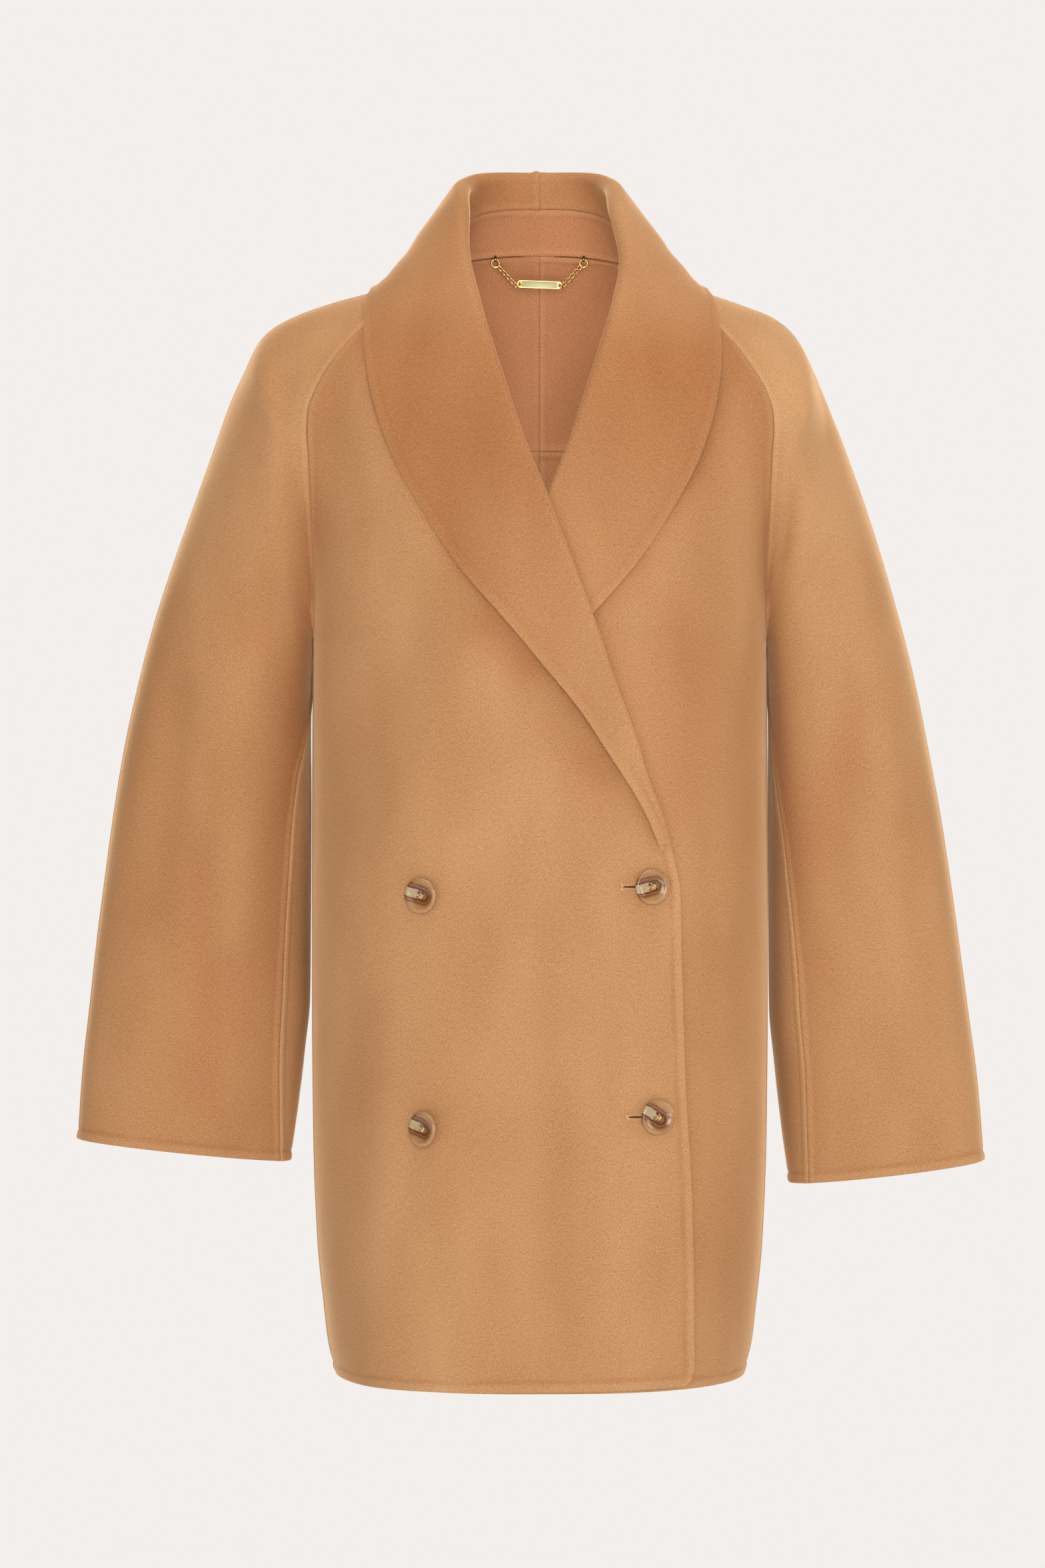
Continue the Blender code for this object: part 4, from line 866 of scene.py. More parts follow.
def collar_grid(half, front, ring, corner):
    """Under side of half the collar, from the lapel's tip to centre back, and the band's top."""
    lapel, up, out = lapel_grid(half, front)
    neck, band_top = neck_collar_grid(half, ring, corner, lapel, up, out)
    dense = np.concatenate((lapel, neck[1:]))
    rolled = by_length(dense[:, :CURL_DENSE], CURL_MIDDLE, False, False)
    fall = by_length(dense[:, CURL_DENSE:], FALL_MIDDLE, False, True)
    grid = by_rows(np.concatenate((rolled, fall[:, 1:]), axis=1), ROW_STEP)
    away = np.linalg.norm(grid[:, -1] - lapel[-1, -1], axis=1)
    return smoothed(grid, fading(away, JOINT_REACH)[:, None], JOINT_PASSES), band_top


def neck_ring(front, sleeves, back):
    """Outer points of the neckline from the front neck to centre back, and where the raglan meets it."""
    ring = np.concatenate((front[-1, ::-1], sleeves[0][0, 1:], sleeves[1][0, 1:], back[-1, -2::-1]))
    along = along_ring(ring)
    length = lengths(ring[None], 1)[0, -1]
    corner = along[front.shape[1] - 1]
    places = np.sort(np.append(spread(0.0, length, ROW_STEP, False, True) / length, corner))
    return points_at(places, along, ring), corner


def edge_list(grid, start, end, first, last):
    """The cut edges of a grid as (distance of every point from the edge, kind of edge, weight)."""
    across, down = lengths(grid, 1), lengths(grid, 0)
    sides = ((across, start), (across[:, -1:] - across, end), (down, first), (down[-1:] - down, last))
    return [(distance, kind, weight) for distance, (kind, weight) in sides]


@lru_cache(maxsize=1)
def coat_forms():
    """Every cut piece: its grid of outer points, whether it is mirrored, its edges and thickness."""
    forms = {}
    bands = []
    seam, free = ("seam", 1.0), ("felled", 1.0)
    back = back_grid()
    yoke = len(LOW_Z) + int(np.argmin(np.abs(RAGLAN_AT[::-1] - YOKE_STATION)))
    for half in ("right", "left"):
        front = front_grid(half)
        sleeves = sleeve_grids(half)
        ring, corner = neck_ring(front, sleeves, back)
        collar, band_top = collar_grid(half, front, ring, corner)
        in_band = along_ring(ring) >= corner
        bands.append((ring[in_band], band_top[in_band]))
        covered = ease((front[:, -1:, 2] - BREAK_Z) / TIP_LENGTH)
        front_edges = edge_list(front, seam, ("felled", 1 - covered), free, seam)
        if half == "right":
            front = rounded_corner(front)
        sewn = ease((collar[:, :1, 2] - RAGLAN["front_z"][0]) / BAND_SEWN)
        tip = tip_share(np.minimum(collar[:, :1, 2], 0.0))
        made = {
            "front": (front, front_edges, 1.0),
            "back_upper": (back[yoke:], edge_list(back[yoke:], seam, seam, seam, seam), 1.0),
            "back_lower": (back[:yoke + 1], edge_list(back[:yoke + 1], seam, seam, free, seam), 1.0),
            "sleeve_front": (sleeves[0], edge_list(sleeves[0], seam, seam, seam, free), 1.0),
            "sleeve_back": (sleeves[1], edge_list(sleeves[1], seam, seam, seam, free), 1.0),
            "collar": (collar, edge_list(collar, ("seam", sewn), free, ("seam", 0.0), seam), tip)}
        for name, (grid, edges, thick) in made.items():
            flip = half == "left"
            forms[name + "_" + half] = (mirrored(grid) if flip else grid, flip, edges, thick)
    share = np.linspace(0, 1, FALL_DENSE)[None, :, None]
    halves = [low[:, None] + (top - low)[:, None] * share for low, top in bands]
    band = by_length(np.concatenate((halves[0], mirrored(halves[1])[-2::-1])), BAND_MIDDLE)[1:-1]
    forms["neck_band"] = (band, False, edge_list(band, seam, seam, seam, seam), 1.0)
    return forms


def rounded_corner(grid):
    """A front with its corner between hem and front edge rounded off."""
    up = unit(np.gradient(grid, axis=0))
    across = unit(np.gradient(grid, axis=1))
    along = lengths(grid, 1)
    p = np.clip(1 - lengths(grid, 0) / CORNER_RADIUS, 0, 1)
    q = np.clip(1 - (along[:, -1:] - along) / CORNER_RADIUS, 0, 1)
    rise = CORNER_RADIUS * (p - p * np.sqrt(1 - q * q / 2))
    draw = CORNER_RADIUS * (q - q * np.sqrt(1 - p * p / 2))
    return grid + up * rise[..., None] - across * draw[..., None]


def grid_normals(grid, flip):
    """Outward normals of a grid's points."""
    normals = unit(np.cross(np.gradient(grid, axis=1), np.gradient(grid, axis=0)))
    return -normals if flip else normals


def rim_numbers(rows, cols):
    """Point numbers round the rim of a grid, in order."""
    number = np.arange(rows * cols).reshape(rows, cols)
    return np.concatenate((number[0, :-1], number[:-1, -1], number[-1, :0:-1], number[:0:-1, 0]))


@lru_cache(maxsize=1)
def shared_normals():
    """Normals of every piece, with the same one for points that meet at a seam."""
    forms = coat_forms()
    normals = {name: grid_normals(grid, flip).reshape(-1, 3) for name, (grid, flip, _, _) in forms.items()}
    meeting = {}
    for name, (grid, _, _, _) in forms.items():
        flat = grid.reshape(-1, 3)
        for k in rim_numbers(*grid.shape[:2]):
            key = tuple(np.round(flat[k] / SEAM_MATCH).astype(int))
            meeting.setdefault(key, []).append((name, k))
    for found in meeting.values():
        total = sum(normals[name][k] for name, k in found)
        for name, k in found:
            normals[name][k] = total / np.linalg.norm(total)
    return normals


def wander(along, seed):
    """A slow uneven wave along a line, about -1 to 1, for what is sewn and pressed by hand."""
    return sum(size * np.sin(2 * pi * along / length + seed * (2 + i))
               for i, (size, length) in enumerate(WAVES))


def dome(distance, width):
    """A rounded rib that lies along an edge: full at the middle of its width, nothing beyond it."""
    return np.sin(pi * np.clip(RIB_START + (1 - RIB_START) * distance / width, 0.0, 1.0))


def cloth_relief(edges, thick, seam_side, fell_share):
    """How far the cloth's faces swell beside seams and felled edges and its edges round off, and the light
    and shade painted on it there.
    """
    swell, rub, rounding, ditch = 0.0, 0.0, 0.0, 0.0
    sizes = bpy.context.scene.wool_coat
    for seed, (distance, kind, weight) in enumerate(edges):
        along = edges[(seed + 2) % 4][0]
        uneven = wander(along, seed)
        if kind == "seam":
            rib = seam_side * dome(distance, sizes.seam_width * (1.0 + SEAM_UNEVEN * uneven))
            ridge = SEAM_RIDGE * rib
            # Painted highlight on the seam's swell and painted shade in its line
            painted_tone = rib - SEAM_PAINTED_SHADE * fading(distance, SEAM_DARK)
            radius = SEAM_ROUND
        else:
            fell = sizes.fell_line + FELL_WANDER * uneven
            rib = dome(distance, fell)
            groove = (FELL_PULL[0] + FELL_PULL[1] * uneven) * fading(distance - fell, FELL_WIDTH)
            ridge = fell_share * (FELL_PUFF * rib - FELL_GROOVE * groove)
            # Painted highlight on the rib, painted shade in its groove, and a painted highlight on the very
            # edge
            painted_tone = fell_share * (FELL_PAINTED_HIGHLIGHT * rib - FELL_PAINTED_SHADE * groove)
            painted_tone = painted_tone + EDGE_PAINTED_HIGHLIGHT * fading(distance, EDGE_REACH)
            radius = FULL_ROUND * CLOTH
        inside = np.clip(radius - distance, 0.0, radius)
        drop = (radius - np.sqrt(radius * radius - inside * inside)) * weight
        swell = swell + ridge * weight
        rub = rub + painted_tone * weight
        if kind == "seam":
            ditch = np.maximum(ditch, drop)
        else:
            rounding = np.maximum(rounding, drop)
    most = FULL_ROUND * CLOTH * thick
    inner = np.minimum(np.maximum(rounding, INNER_DITCH * ditch), most)
    return swell * thick, np.minimum(np.maximum(rounding, ditch), most), inner, np.clip(rub, -1.0, 1.0)


def near_line(grid, line, reach):
    """Nearness to a line in the front view, from x, z to x, z in millimetres, dying away over a reach."""
    start, end = np.reshape(line, (2, 2)) * MM
    way = end - start
    away = grid[..., (0, 2)] - start
    share = np.clip(away @ way / (way @ way), 0.0, 1.0)
    return fading(np.linalg.norm(away - share[..., None] * way, axis=2), reach * MM)


def pressed(name, grid, edges):
    """How deep the soft hollows press each point in; they die away at seams and at a panel's long edges."""
    deep = np.zeros(grid.shape[:2])
    for *line, reach, depth in HOLLOWS.get(name, ()):
        deep += depth * MM * near_line(grid, line, reach)
    for number, (distance, kind, _) in enumerate(edges):
        long_edge = number < 2 and not name.startswith("collar")
        if kind == "seam" or long_edge:
            deep *= ease(distance / HOLLOW_CLEAR)
    return deep


def lapel_painted_shadow(grid, name):
    """Painted shadow of the lapel on a front, just outside the lapel's edge."""
    side, shift = (-1.0, FALL["left_shift"]) if name.endswith("left") else (1.0, 0.0)
    edge = np.interp(grid[..., 2], FALL["z"], FALL["x"] + shift)
    lean = np.interp(grid[..., 2], FALL["z"], np.gradient(FALL["x"] + shift, FALL["z"]))
    away = np.maximum(edge - side * grid[..., 0], 0.0) / np.sqrt(1.0 + lean * lean)
    over = ease((grid[..., 2] - FALL["z"][0]) / LAPEL_REACH)
    return LAPEL_PAINTED_SHADOW * over * (fading(away, LAPEL_REACH) + fading(away, LAPEL_LINE))


def painted_light_and_shade(name, grid, edges, rub, deep):
    """Painted light and shade of a piece: beside its sewing, in its hollows, beside seams and the lapel, and
    places and whole pieces lit or shaded.
    """
    z = grid[..., 2]
    # Painted shade in hollows, painted light on ridges, and painted light or shade over whole pieces
    tone = rub - deep / HOLLOW_PAINTED_SHADE + PIECE_PAINTED_LIGHT.get(name, 0.0)
    # Painted shadows below the lapel
    for *line, reach, shade in PAINTED_SHADOWS.get(name, ()):
        tone = tone - shade * near_line(grid, line, reach)
    # Painted shade beside the raglan seam, and the lapel's painted shadow
    if name.startswith("front"):
        upper = ease((z - RAGLAN_FROM) / RAGLAN_OVER)
        tone = tone - RAGLAN_PAINTED_SHADE * upper * fading(edges[0][0], RAGLAN_REACH) - lapel_painted_shadow(grid, name)
    if name.startswith("sleeve_front"):
        # Painted light over the shoulder, and painted shade on the inner side of the arm
        tone = tone + SHOULDER_PAINTED_LIGHT * ease((z - SHOULDER_FROM) / SHOULDER_OVER)
        tone = tone - INNER_PAINTED_SHADE * fading(z - INNER_Z, INNER_OVER) * fading(edges[0][0], INNER_REACH)
    if name.startswith("sleeve_back"):
        # Painted light on the strip that faces the body
        tone = tone + STRIP_PAINTED_LIGHT * fading(edges[1][0], STRIP_REACH)
    return np.clip(np.broadcast_to(tone, z.shape), -PAINTED_SHADING_MOST, PAINTED_SHADING_MOST)


def nap_turn(name, grid):
    """How far a piece's nap has turned from lying down to lying across."""
    turn_from, turn_top = NAP_LEFT if name == "collar_left" else (NAP_FROM, NAP_TOP)
    across = lengths(grid, 1)
    fall = np.maximum(ease((across / across[:, -1:] - NAP_STAND) / NAP_STAND_OVER), NAP_INNER)
    upper = np.maximum(ease((NAP_BACK_Y - grid[..., 1]) / NAP_TOP_OVER), fall)
    upper = upper * ease((grid[..., 2] - NAP_TOP_FROM) / NAP_TOP_OVER)
    return ease((grid[:, :1, 2] - turn_from) / NAP_OVER) * (1.0 - turn_top * upper)


def sew_panel(name, stuffs):
    """One cut piece as a closed shell of cloth with sewn and felled edges."""
    grid, flip, edges, thick = coat_forms()[name]
    rows, cols = grid.shape[:2]
    normals = shared_normals()[name].reshape(grid.shape)
    fell_share = FELL_COLLAR if name.startswith("collar") else 1.0
    swell, outer_round, inner_round, rub = cloth_relief(edges, thick, SEAM_SIDE.get(name, 1.0), fell_share)
    deep = pressed(name, grid, edges)
    grid = grid - normals * deep[..., None]
    outer = grid + normals * (swell - outer_round)[..., None]
    inner = grid - normals * (CLOTH * thick + INNER_SWELL * swell - inner_round)[..., None]
    number = np.arange(rows * cols).reshape(rows, cols)
    quads = np.stack((number[:-1, :-1], number[:-1, 1:], number[1:, 1:], number[1:, :-1]), axis=2)
    quads = quads.reshape(-1, 4)
    under = rows * cols
    rim = rim_numbers(rows, cols)
    after = np.roll(rim, -1)
    side = np.stack((after, rim, rim + under, after + under), axis=1)
    faces = np.concatenate((quads, quads[:, ::-1] + under, side))
    if flip:
        faces = faces[:, ::-1]
    mesh = bpy.data.meshes.new(name)
    vertices = np.concatenate((outer.reshape(-1, 3), inner.reshape(-1, 3)))
    mesh.from_pydata(vertices.tolist(), [], faces.tolist())
    for stuff in stuffs:
        mesh.materials.append(stuff)
    inside = np.zeros(len(faces), dtype=np.int32)
    inside[len(quads):2 * len(quads)] = 1
    mesh.polygons.foreach_set("material_index", inside)
    places = np.stack((lengths(grid, 1), lengths(grid, 0)), axis=2).reshape(-1, 2)
    laid = mesh.uv_layers.new(name="Grain")
    laid.data.foreach_set("uv", np.concatenate((places, places))[faces.reshape(-1)].reshape(-1))
    mesh.shade_smooth()
    turned = nap_turn(name, grid)
    tone = painted_light_and_shade(name, grid, edges, rub, deep)
    # The nap's turn, and the painted light and shade scaled for the outside and inside faces
    for kind, faces_of in (("nap", (turned, turned)), ("rub", (tone * OUTER_PAINTED_SHADING, tone * INNER_PAINTED_SHADING))):
        lie = mesh.attributes.new(kind, "FLOAT", "POINT")
        lie.data.foreach_set("value", np.concatenate(faces_of).reshape(-1))
    made = bpy.data.objects.new(name + "_cloth", mesh)
    bpy.context.scene.collection.objects.link(made)
    settle(made, "coat", name)
    return made


def linear(code):
    """A colour written as sRGB hex, as linear red, green and blue."""
    parts = [int(code[i:i + 2], 16) / 255 for i in (1, 3, 5)]
    return tuple(c / 12.92 if c <= 0.04045 else ((c + 0.055) / 1.055) ** 2.4 for c in parts)


def rgba(colour):
    """A colour with full cover."""
    return (*colour, 1.0)


def set_sockets(tree, node, inputs):
    """Give a node's inputs their values or links."""
    for name, value in inputs.items():
        if isinstance(value, bpy.types.NodeSocket):
            tree.links.new(value, node.inputs[name])
        else:
            node.inputs[name].default_value = value


def add_node(tree, kind, inputs=None, stops=(), **settings):
    """A shader node with its settings, its input values or links, and its colour stops."""
    made = tree.nodes.new(kind)
    for name, value in settings.items():
        setattr(made, name, value)
    set_sockets(tree, made, inputs or {})
    for i, (place, colour) in enumerate(stops):
        ramp = made.color_ramp.elements
        stop = ramp[i] if i < 2 else ramp.new(place)
        stop.position = place
        stop.color = rgba(colour)
    return made


def start_material(name):
    """A new material and its Principled shader."""
    made = bpy.data.materials.new(name)
    made.use_nodes = True
    return made, made.node_tree, made.node_tree.nodes["Principled BSDF"]


@lru_cache(maxsize=None)
def brushed_wool(name, lying, turned, nap_height):
    """Double-face wool, milled and brushed: a matt felted face with short fibres and a soft sheen."""
    made, tree, shader = start_material(name)
    place = add_node(tree, "ShaderNodeTexCoord")
    grain = add_node(tree, "ShaderNodeMapping", {
        "Vector": place.outputs["UV"], "Scale": (1.0, NAP_STRETCH, 1.0)})
    fibres = add_node(tree, "ShaderNodeTexNoise", {
        "Vector": grain.outputs["Vector"], "Scale": 1 / FIBRE_SIZE, "Detail": 3.0, "Roughness": 0.65})
    tufts = add_node(tree, "ShaderNodeTexNoise", {
        "Vector": place.outputs["Object"], "Scale": 1 / TUFT_SIZE, "Detail": 2.0, "Roughness": 0.6})
    hung = add_node(tree, "ShaderNodeMapping", {
        "Vector": place.outputs["Object"], "Scale": (1.0, 1.0, CLOUD_STRETCH)})
    clouds = add_node(tree, "ShaderNodeTexNoise", {
        "Vector": hung.outputs["Vector"], "Scale": 1 / CLOUD_SIZE, "Detail": 1.0})
    speck = add_node(tree, "ShaderNodeMix", {
        "Factor": TUFT_SHARE, "A": fibres.outputs["Fac"], "B": tufts.outputs["Fac"]})
    mixed = add_node(tree, "ShaderNodeMix", {
        "Factor": CLOUD_SHARE, "A": speck.outputs["Result"], "B": clouds.outputs["Fac"]})
    shades = [add_node(tree, "ShaderNodeValToRGB", {"Fac": mixed.outputs["Result"]},
                       stops=zip(SHADE_STOPS, colours)) for colours in (lying, turned)]
    nap = add_node(tree, "ShaderNodeAttribute", attribute_name="nap")
    colour = add_node(tree, "ShaderNodeMix", {
        "Factor": nap.outputs["Fac"], 6: shades[0].outputs["Color"], 7: shades[1].outputs["Color"]},
        data_type="RGBA")
    # Painted light and shade from the attribute scale the wool's colour, darker and redder where shade is
    # painted
    rub = add_node(tree, "ShaderNodeAttribute", attribute_name="rub")
    tone = add_node(tree, "ShaderNodeVectorMath", {
        0: rub.outputs["Fac"], 1: PAINTED_SHADING_TINT, 2: (1.0, 1.0, 1.0)}, operation="MULTIPLY_ADD")
    colour = add_node(tree, "ShaderNodeVectorMath", {0: colour.outputs[2], 1: tone.outputs["Vector"]},
                      operation="MULTIPLY")
    bump = add_node(tree, "ShaderNodeBump", {
        "Height": speck.outputs["Result"], "Strength": 0.5, "Distance": nap_height})
    set_sockets(tree, shader, {
        "Base Color": colour.outputs["Vector"], "Normal": bump.outputs["Normal"], "Roughness": 0.9,
        "Specular IOR Level": 0.2, "Sheen Weight": 1.0, "Sheen Roughness": 0.32,
        "Sheen Tint": rgba(linear(SHEEN_COLOUR))})
    return made


def dyed(codes):
    """Shades of the wool, moved together with the plain shade that the settings give it."""
    share = np.array(bpy.context.scene.wool_coat.wool) / linear(LYING_WOOL[2])
    return tuple(tuple(linear(code) * share) for code in codes)


def wool(part):
    """The wool of the coat's outside, collar or inside: the nap of each lies another way, and the collar's
    turned nap is painted in darker shades.
    """
    lying, turned = {"outside": (LYING_WOOL, LYING_WOOL), "collar": (LYING_WOOL, COLLAR_WOOL),
                     "inside": (INSIDE_WOOL, INSIDE_WOOL)}[part]
    return brushed_wool("Brushed double-face wool, " + part, dyed(lying), dyed(turned),
                        bpy.context.scene.wool_coat.nap_height)


def colour_setting(name, description, code):
    """A colour that a user may change."""
    return FloatVectorProperty(name=name, description=description, subtype="COLOR", default=linear(code),
                               min=0.0, max=1.0)


def size_setting(name, description, size, least=0.0):
    """A size that a user may change."""
    return FloatProperty(name=name, description=description, default=size, min=least, precision=5,
                         unit="LENGTH")


class WoolCoatSettings(bpy.types.PropertyGroup):
    """Sizes and colours of the coat that a user would change."""

    wool: colour_setting("Wool", "Plain shade of the wool; its other shades move with it", LYING_WOOL[2])
    pale_thread: colour_setting("Pale thread", "Thread of the buttons and buttonholes", "#d6b183")
    # The dark thread's colour also gives the painted shade in the buttonhole slits
    dark_thread: colour_setting("Dark thread", "Thread of the slits, tacks and neck seam", "#573922")
    brass: colour_setting("Brass", "Rings, chain and rim of the hanger", "#d8b478")
    plate: colour_setting("Plate", "Lacquered face of the hanger's plate", "#9da381")
    backdrop: colour_setting("Backdrop", "Plain floor and backdrop", "#f3efec")
    seam_width: size_setting("Seam width", "Width of the swell beside a seam", 0.0060)
    fell_line: size_setting("Felling line", "From a free edge to the line where it is felled", 0.0076)
    nap_height: size_setting("Nap height", "Height of the wool's brushed fibres", 0.0006)
    button_lift: size_setting("Button lift", "Gap between the cloth and a button", 0.0009)
    hole_length: size_setting("Buttonhole", "Length of a buttonhole's slit", 0.022)
    stitch_step: size_setting("Neck stitches", "From one stitch of the neck seam to the next", 0.0042, 0.001)
    camera_distance: size_setting("Camera distance", "From the camera to the middle of the coat", 3.2, 1.0)


class CoatOperator:
    """What the coat's operators share."""

    bl_options = {"REGISTER", "UNDO"}


class COAT_OT_panels(CoatOperator, bpy.types.Operator):
    """Sew the fronts, backs and sleeves"""

    bl_idname = "coat.panels"
    bl_label = "Fronts, backs and sleeves"

    def execute(self, context):
        for name in coat_forms():
            if name.startswith(("front", "back", "sleeve")):
                sew_panel(name, (wool("outside"), wool("inside")))
        return {"FINISHED"}


class COAT_OT_collar(CoatOperator, bpy.types.Operator):
    """Sew the shawl collar and the neck band"""

    bl_idname = "coat.collar"
    bl_label = "Collar and neck band"

    def execute(self, context):
        for name in ("collar_right", "collar_left"):
            sew_panel(name, (wool("collar"), wool("collar")))
        sew_panel("neck_band", (wool("inside"), wool("inside")))
        return {"FINISHED"}


def pick(*pieces):
    """Select only these pieces, the first one active."""
    bpy.ops.object.select_all(action="DESELECT")
    for piece in pieces:
        piece.select_set(True)
    bpy.context.view_layer.objects.active = pieces[0]


def fix_place():
    """Put the picked piece's place, turn and scale into its mesh."""
    bpy.ops.object.transform_apply(location=True, rotation=True, scale=True)


def new_piece(name, add, **sizes):
    """A primitive added on its own at the origin."""
    bpy.ops.object.select_all(action="DESELECT")
    add(**sizes)
    bpy.context.object.name = name
    return bpy.context.object


def finished(piece, stuff, crease=None):
    """A piece smoothed, all over or up to a crease in degrees, and given its material."""
    pick(piece)
    if crease:
        bpy.ops.object.shade_smooth_by_angle(angle=radians(crease))
    else:
        bpy.ops.object.shade_smooth()
    piece.data.materials.append(stuff)
    return piece


def select_where(piece, test):
    """In edit mode, select the vertices whose place passes a test."""
    bpy.ops.mesh.select_mode(type="VERT")
    bpy.ops.mesh.select_all(action="DESELECT")
    bpy.ops.object.mode_set(mode="OBJECT")
    for vertex in piece.data.vertices:
        vertex.select = test(vertex.co)
    bpy.ops.object.mode_set(mode="EDIT")


def select_edges(piece, test):
    """In edit mode, select the edges whose two ends pass a test."""
    bpy.ops.object.mode_set(mode="EDIT")
    bpy.ops.mesh.select_mode(type="EDGE")
    bpy.ops.mesh.select_all(action="DESELECT")
    bpy.ops.object.mode_set(mode="OBJECT")
    for edge in piece.data.edges:
        edge.select = test(*(piece.data.vertices[k].co for k in edge.vertices))
    bpy.ops.object.mode_set(mode="EDIT")


def bevelled(piece, width, steps):
    """A piece with its sharp edges rounded."""
    pick(piece)
    bevel = piece.modifiers.new("Round", "BEVEL")
    bevel.width = width
    bevel.segments = steps
    bevel.limit_method = "ANGLE"
    bpy.ops.object.modifier_apply(modifier="Round")
    return piece


def carved(piece, cutters):
    """A piece with the room of some cutters taken out of it."""
    cutter = joined("cutter", cutters)
    fix_place()
    pick(piece)
    cut = piece.modifiers.new("Cut", "BOOLEAN")
    cut.object = cutter
    cut.solver = "EXACT"
    bpy.ops.object.modifier_apply(modifier="Cut")
    discard(cutter)
    return piece


def turned_piece(name, profile, sides):
    """A round piece built up ring by ring from (radius, height) pairs, closed at both ends."""
    radius, height = profile[0]
    piece = new_piece(name, bpy.ops.mesh.primitive_circle_add, vertices=sides, radius=radius,
                      fill_type="NGON", location=(0.0, 0.0, height))
    fix_place()
    bpy.ops.object.mode_set(mode="EDIT")
    bpy.ops.mesh.select_all(action="SELECT")
    for next_radius, next_height in profile[1:]:
        bpy.ops.mesh.extrude_region_move(TRANSFORM_OT_translate={"value": (0, 0, next_height - height)})
        bpy.ops.transform.resize(value=(next_radius / radius, next_radius / radius, 1.0))
        radius, height = next_radius, next_height
    bpy.ops.mesh.select_all(action="SELECT")
    bpy.ops.mesh.normals_make_consistent(inside=False)
    bpy.ops.object.mode_set(mode="OBJECT")
    return piece


def slab(name, size, at=(0.0, 0.0, 0.0)):
    """A box of a given size."""
    piece = new_piece(name, bpy.ops.mesh.primitive_cube_add, size=1.0)
    piece.scale = size
    piece.location = at
    fix_place()
    return piece


def strand(name, stuff, length, radius, bow=0.0):
    """A short rounded end of thread along X, raised in the middle."""
    piece = new_piece(name, bpy.ops.mesh.primitive_uv_sphere_add, segments=STRAND_SIDES[0],
                      ring_count=STRAND_SIDES[1], radius=1.0)
    piece.rotation_euler = (0.0, pi / 2, 0.0)
    fix_place()
    piece.scale = (length / 2, radius, radius)
    fix_place()
    bpy.ops.object.mode_set(mode="EDIT")
    for share in BOW_SHARES:
        select_where(piece, lambda co: abs(co.x) < share * length / 2)
        bpy.ops.transform.translate(value=(0.0, 0.0, bow / len(BOW_SHARES)))
    bpy.ops.object.mode_set(mode="OBJECT")
    return finished(piece, stuff)


def wire_ring(name, stuff, radius, wire, sides, turn=(0.0, 0.0, 0.0)):
    """A round of wire, with so many sides along it and round it."""
    piece = new_piece(name, bpy.ops.mesh.primitive_torus_add, major_radius=radius, minor_radius=wire,
                      major_segments=sides[0], minor_segments=sides[1], rotation=turn)
    fix_place()
    return finished(piece, stuff)


def drawn_out(piece, reach, twist=0.0):
    """A round of wire drawn out along X, its ends twisted about that line."""
    bpy.ops.object.mode_set(mode="EDIT")
    for side in (-1, 1):
        select_where(piece, lambda co: co.x * side > MIDDLE_MARGIN)
        bpy.ops.transform.translate(value=(side * reach, 0.0, 0.0))
        if twist:
            bpy.ops.transform.rotate(value=side * radians(twist), orient_axis="X", center_override=(0, 0, 0))
    bpy.ops.object.mode_set(mode="OBJECT")
    return piece


def placed_copy(pattern, name, place):
    """A copy of a piece with its own mesh, set in its place."""
    piece = pattern.copy()
    piece.data = pattern.data.copy()
    piece.name = name
    piece.data.name = name
    piece.data.transform(place)
    bpy.context.scene.collection.objects.link(piece)
    return piece


def joined(name, pieces):
    """Several pieces as one."""
    pick(*pieces)
    if len(pieces) > 1:
        bpy.ops.object.join()
    pieces[0].name = name
    pieces[0].data.name = name
    return pieces[0]


def discard(piece):
    """Take away a pattern once its copies are made."""
    bpy.data.objects.remove(piece, do_unlink=True)


def settle(piece, body_name, node=None):
    """Say which body a piece rides on and the solid that it stands for."""
    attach(piece, body_name)
    if node:
        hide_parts(node)


def spun(degrees, axis="Z"):
    """A turn about an axis."""
    return Matrix.Rotation(radians(degrees), 4, axis)


def frame_at(at, out, across):
    """A place with Z along `out` and X as near `across` as it can be."""
    z = Vector(out).normalized()
    x = (Vector(across) - z * Vector(across).dot(z)).normalized()
    place = Matrix((x, z.cross(x), z)).transposed().to_4x4()
    place.translation = at
    return place


def on_front(x, z):
    """The place on the right front's face at x and z: Z out of the cloth, X towards the wearer's left."""
    at, beside, above = front_shell(np.array((x, x + FACE_STEP, x)), np.array((z, z, z + FACE_STEP)), "right")
    return frame_at(at, np.cross(beside - at, above - at), beside - at)


def horn_button(stuff):
    """One button: a dished disc with a rounded rim and four holes, its streak along -X."""
    button = turned_piece("button", [(r * MM, h * MM) for r, h in BUTTON_PROFILE], BUTTON_SIDES)
    drills = [new_piece("drill", bpy.ops.mesh.primitive_cylinder_add, vertices=HOLE_SIDES, radius=HOLE_RADIUS,
                        depth=DRILL_LENGTH, location=(x * HOLE_PLACE, y * HOLE_PLACE, 0.0))
              for x in (-1, 1) for y in (-1, 1)]
    finished(carved(button, drills), stuff, BUTTON_CREASE)
    grain = button.data.uv_layers.new(name="Grain")
    for loop in button.data.loops:
        grain.data[loop.index].uv = button.data.vertices[loop.vertex_index].co.xy
    return button


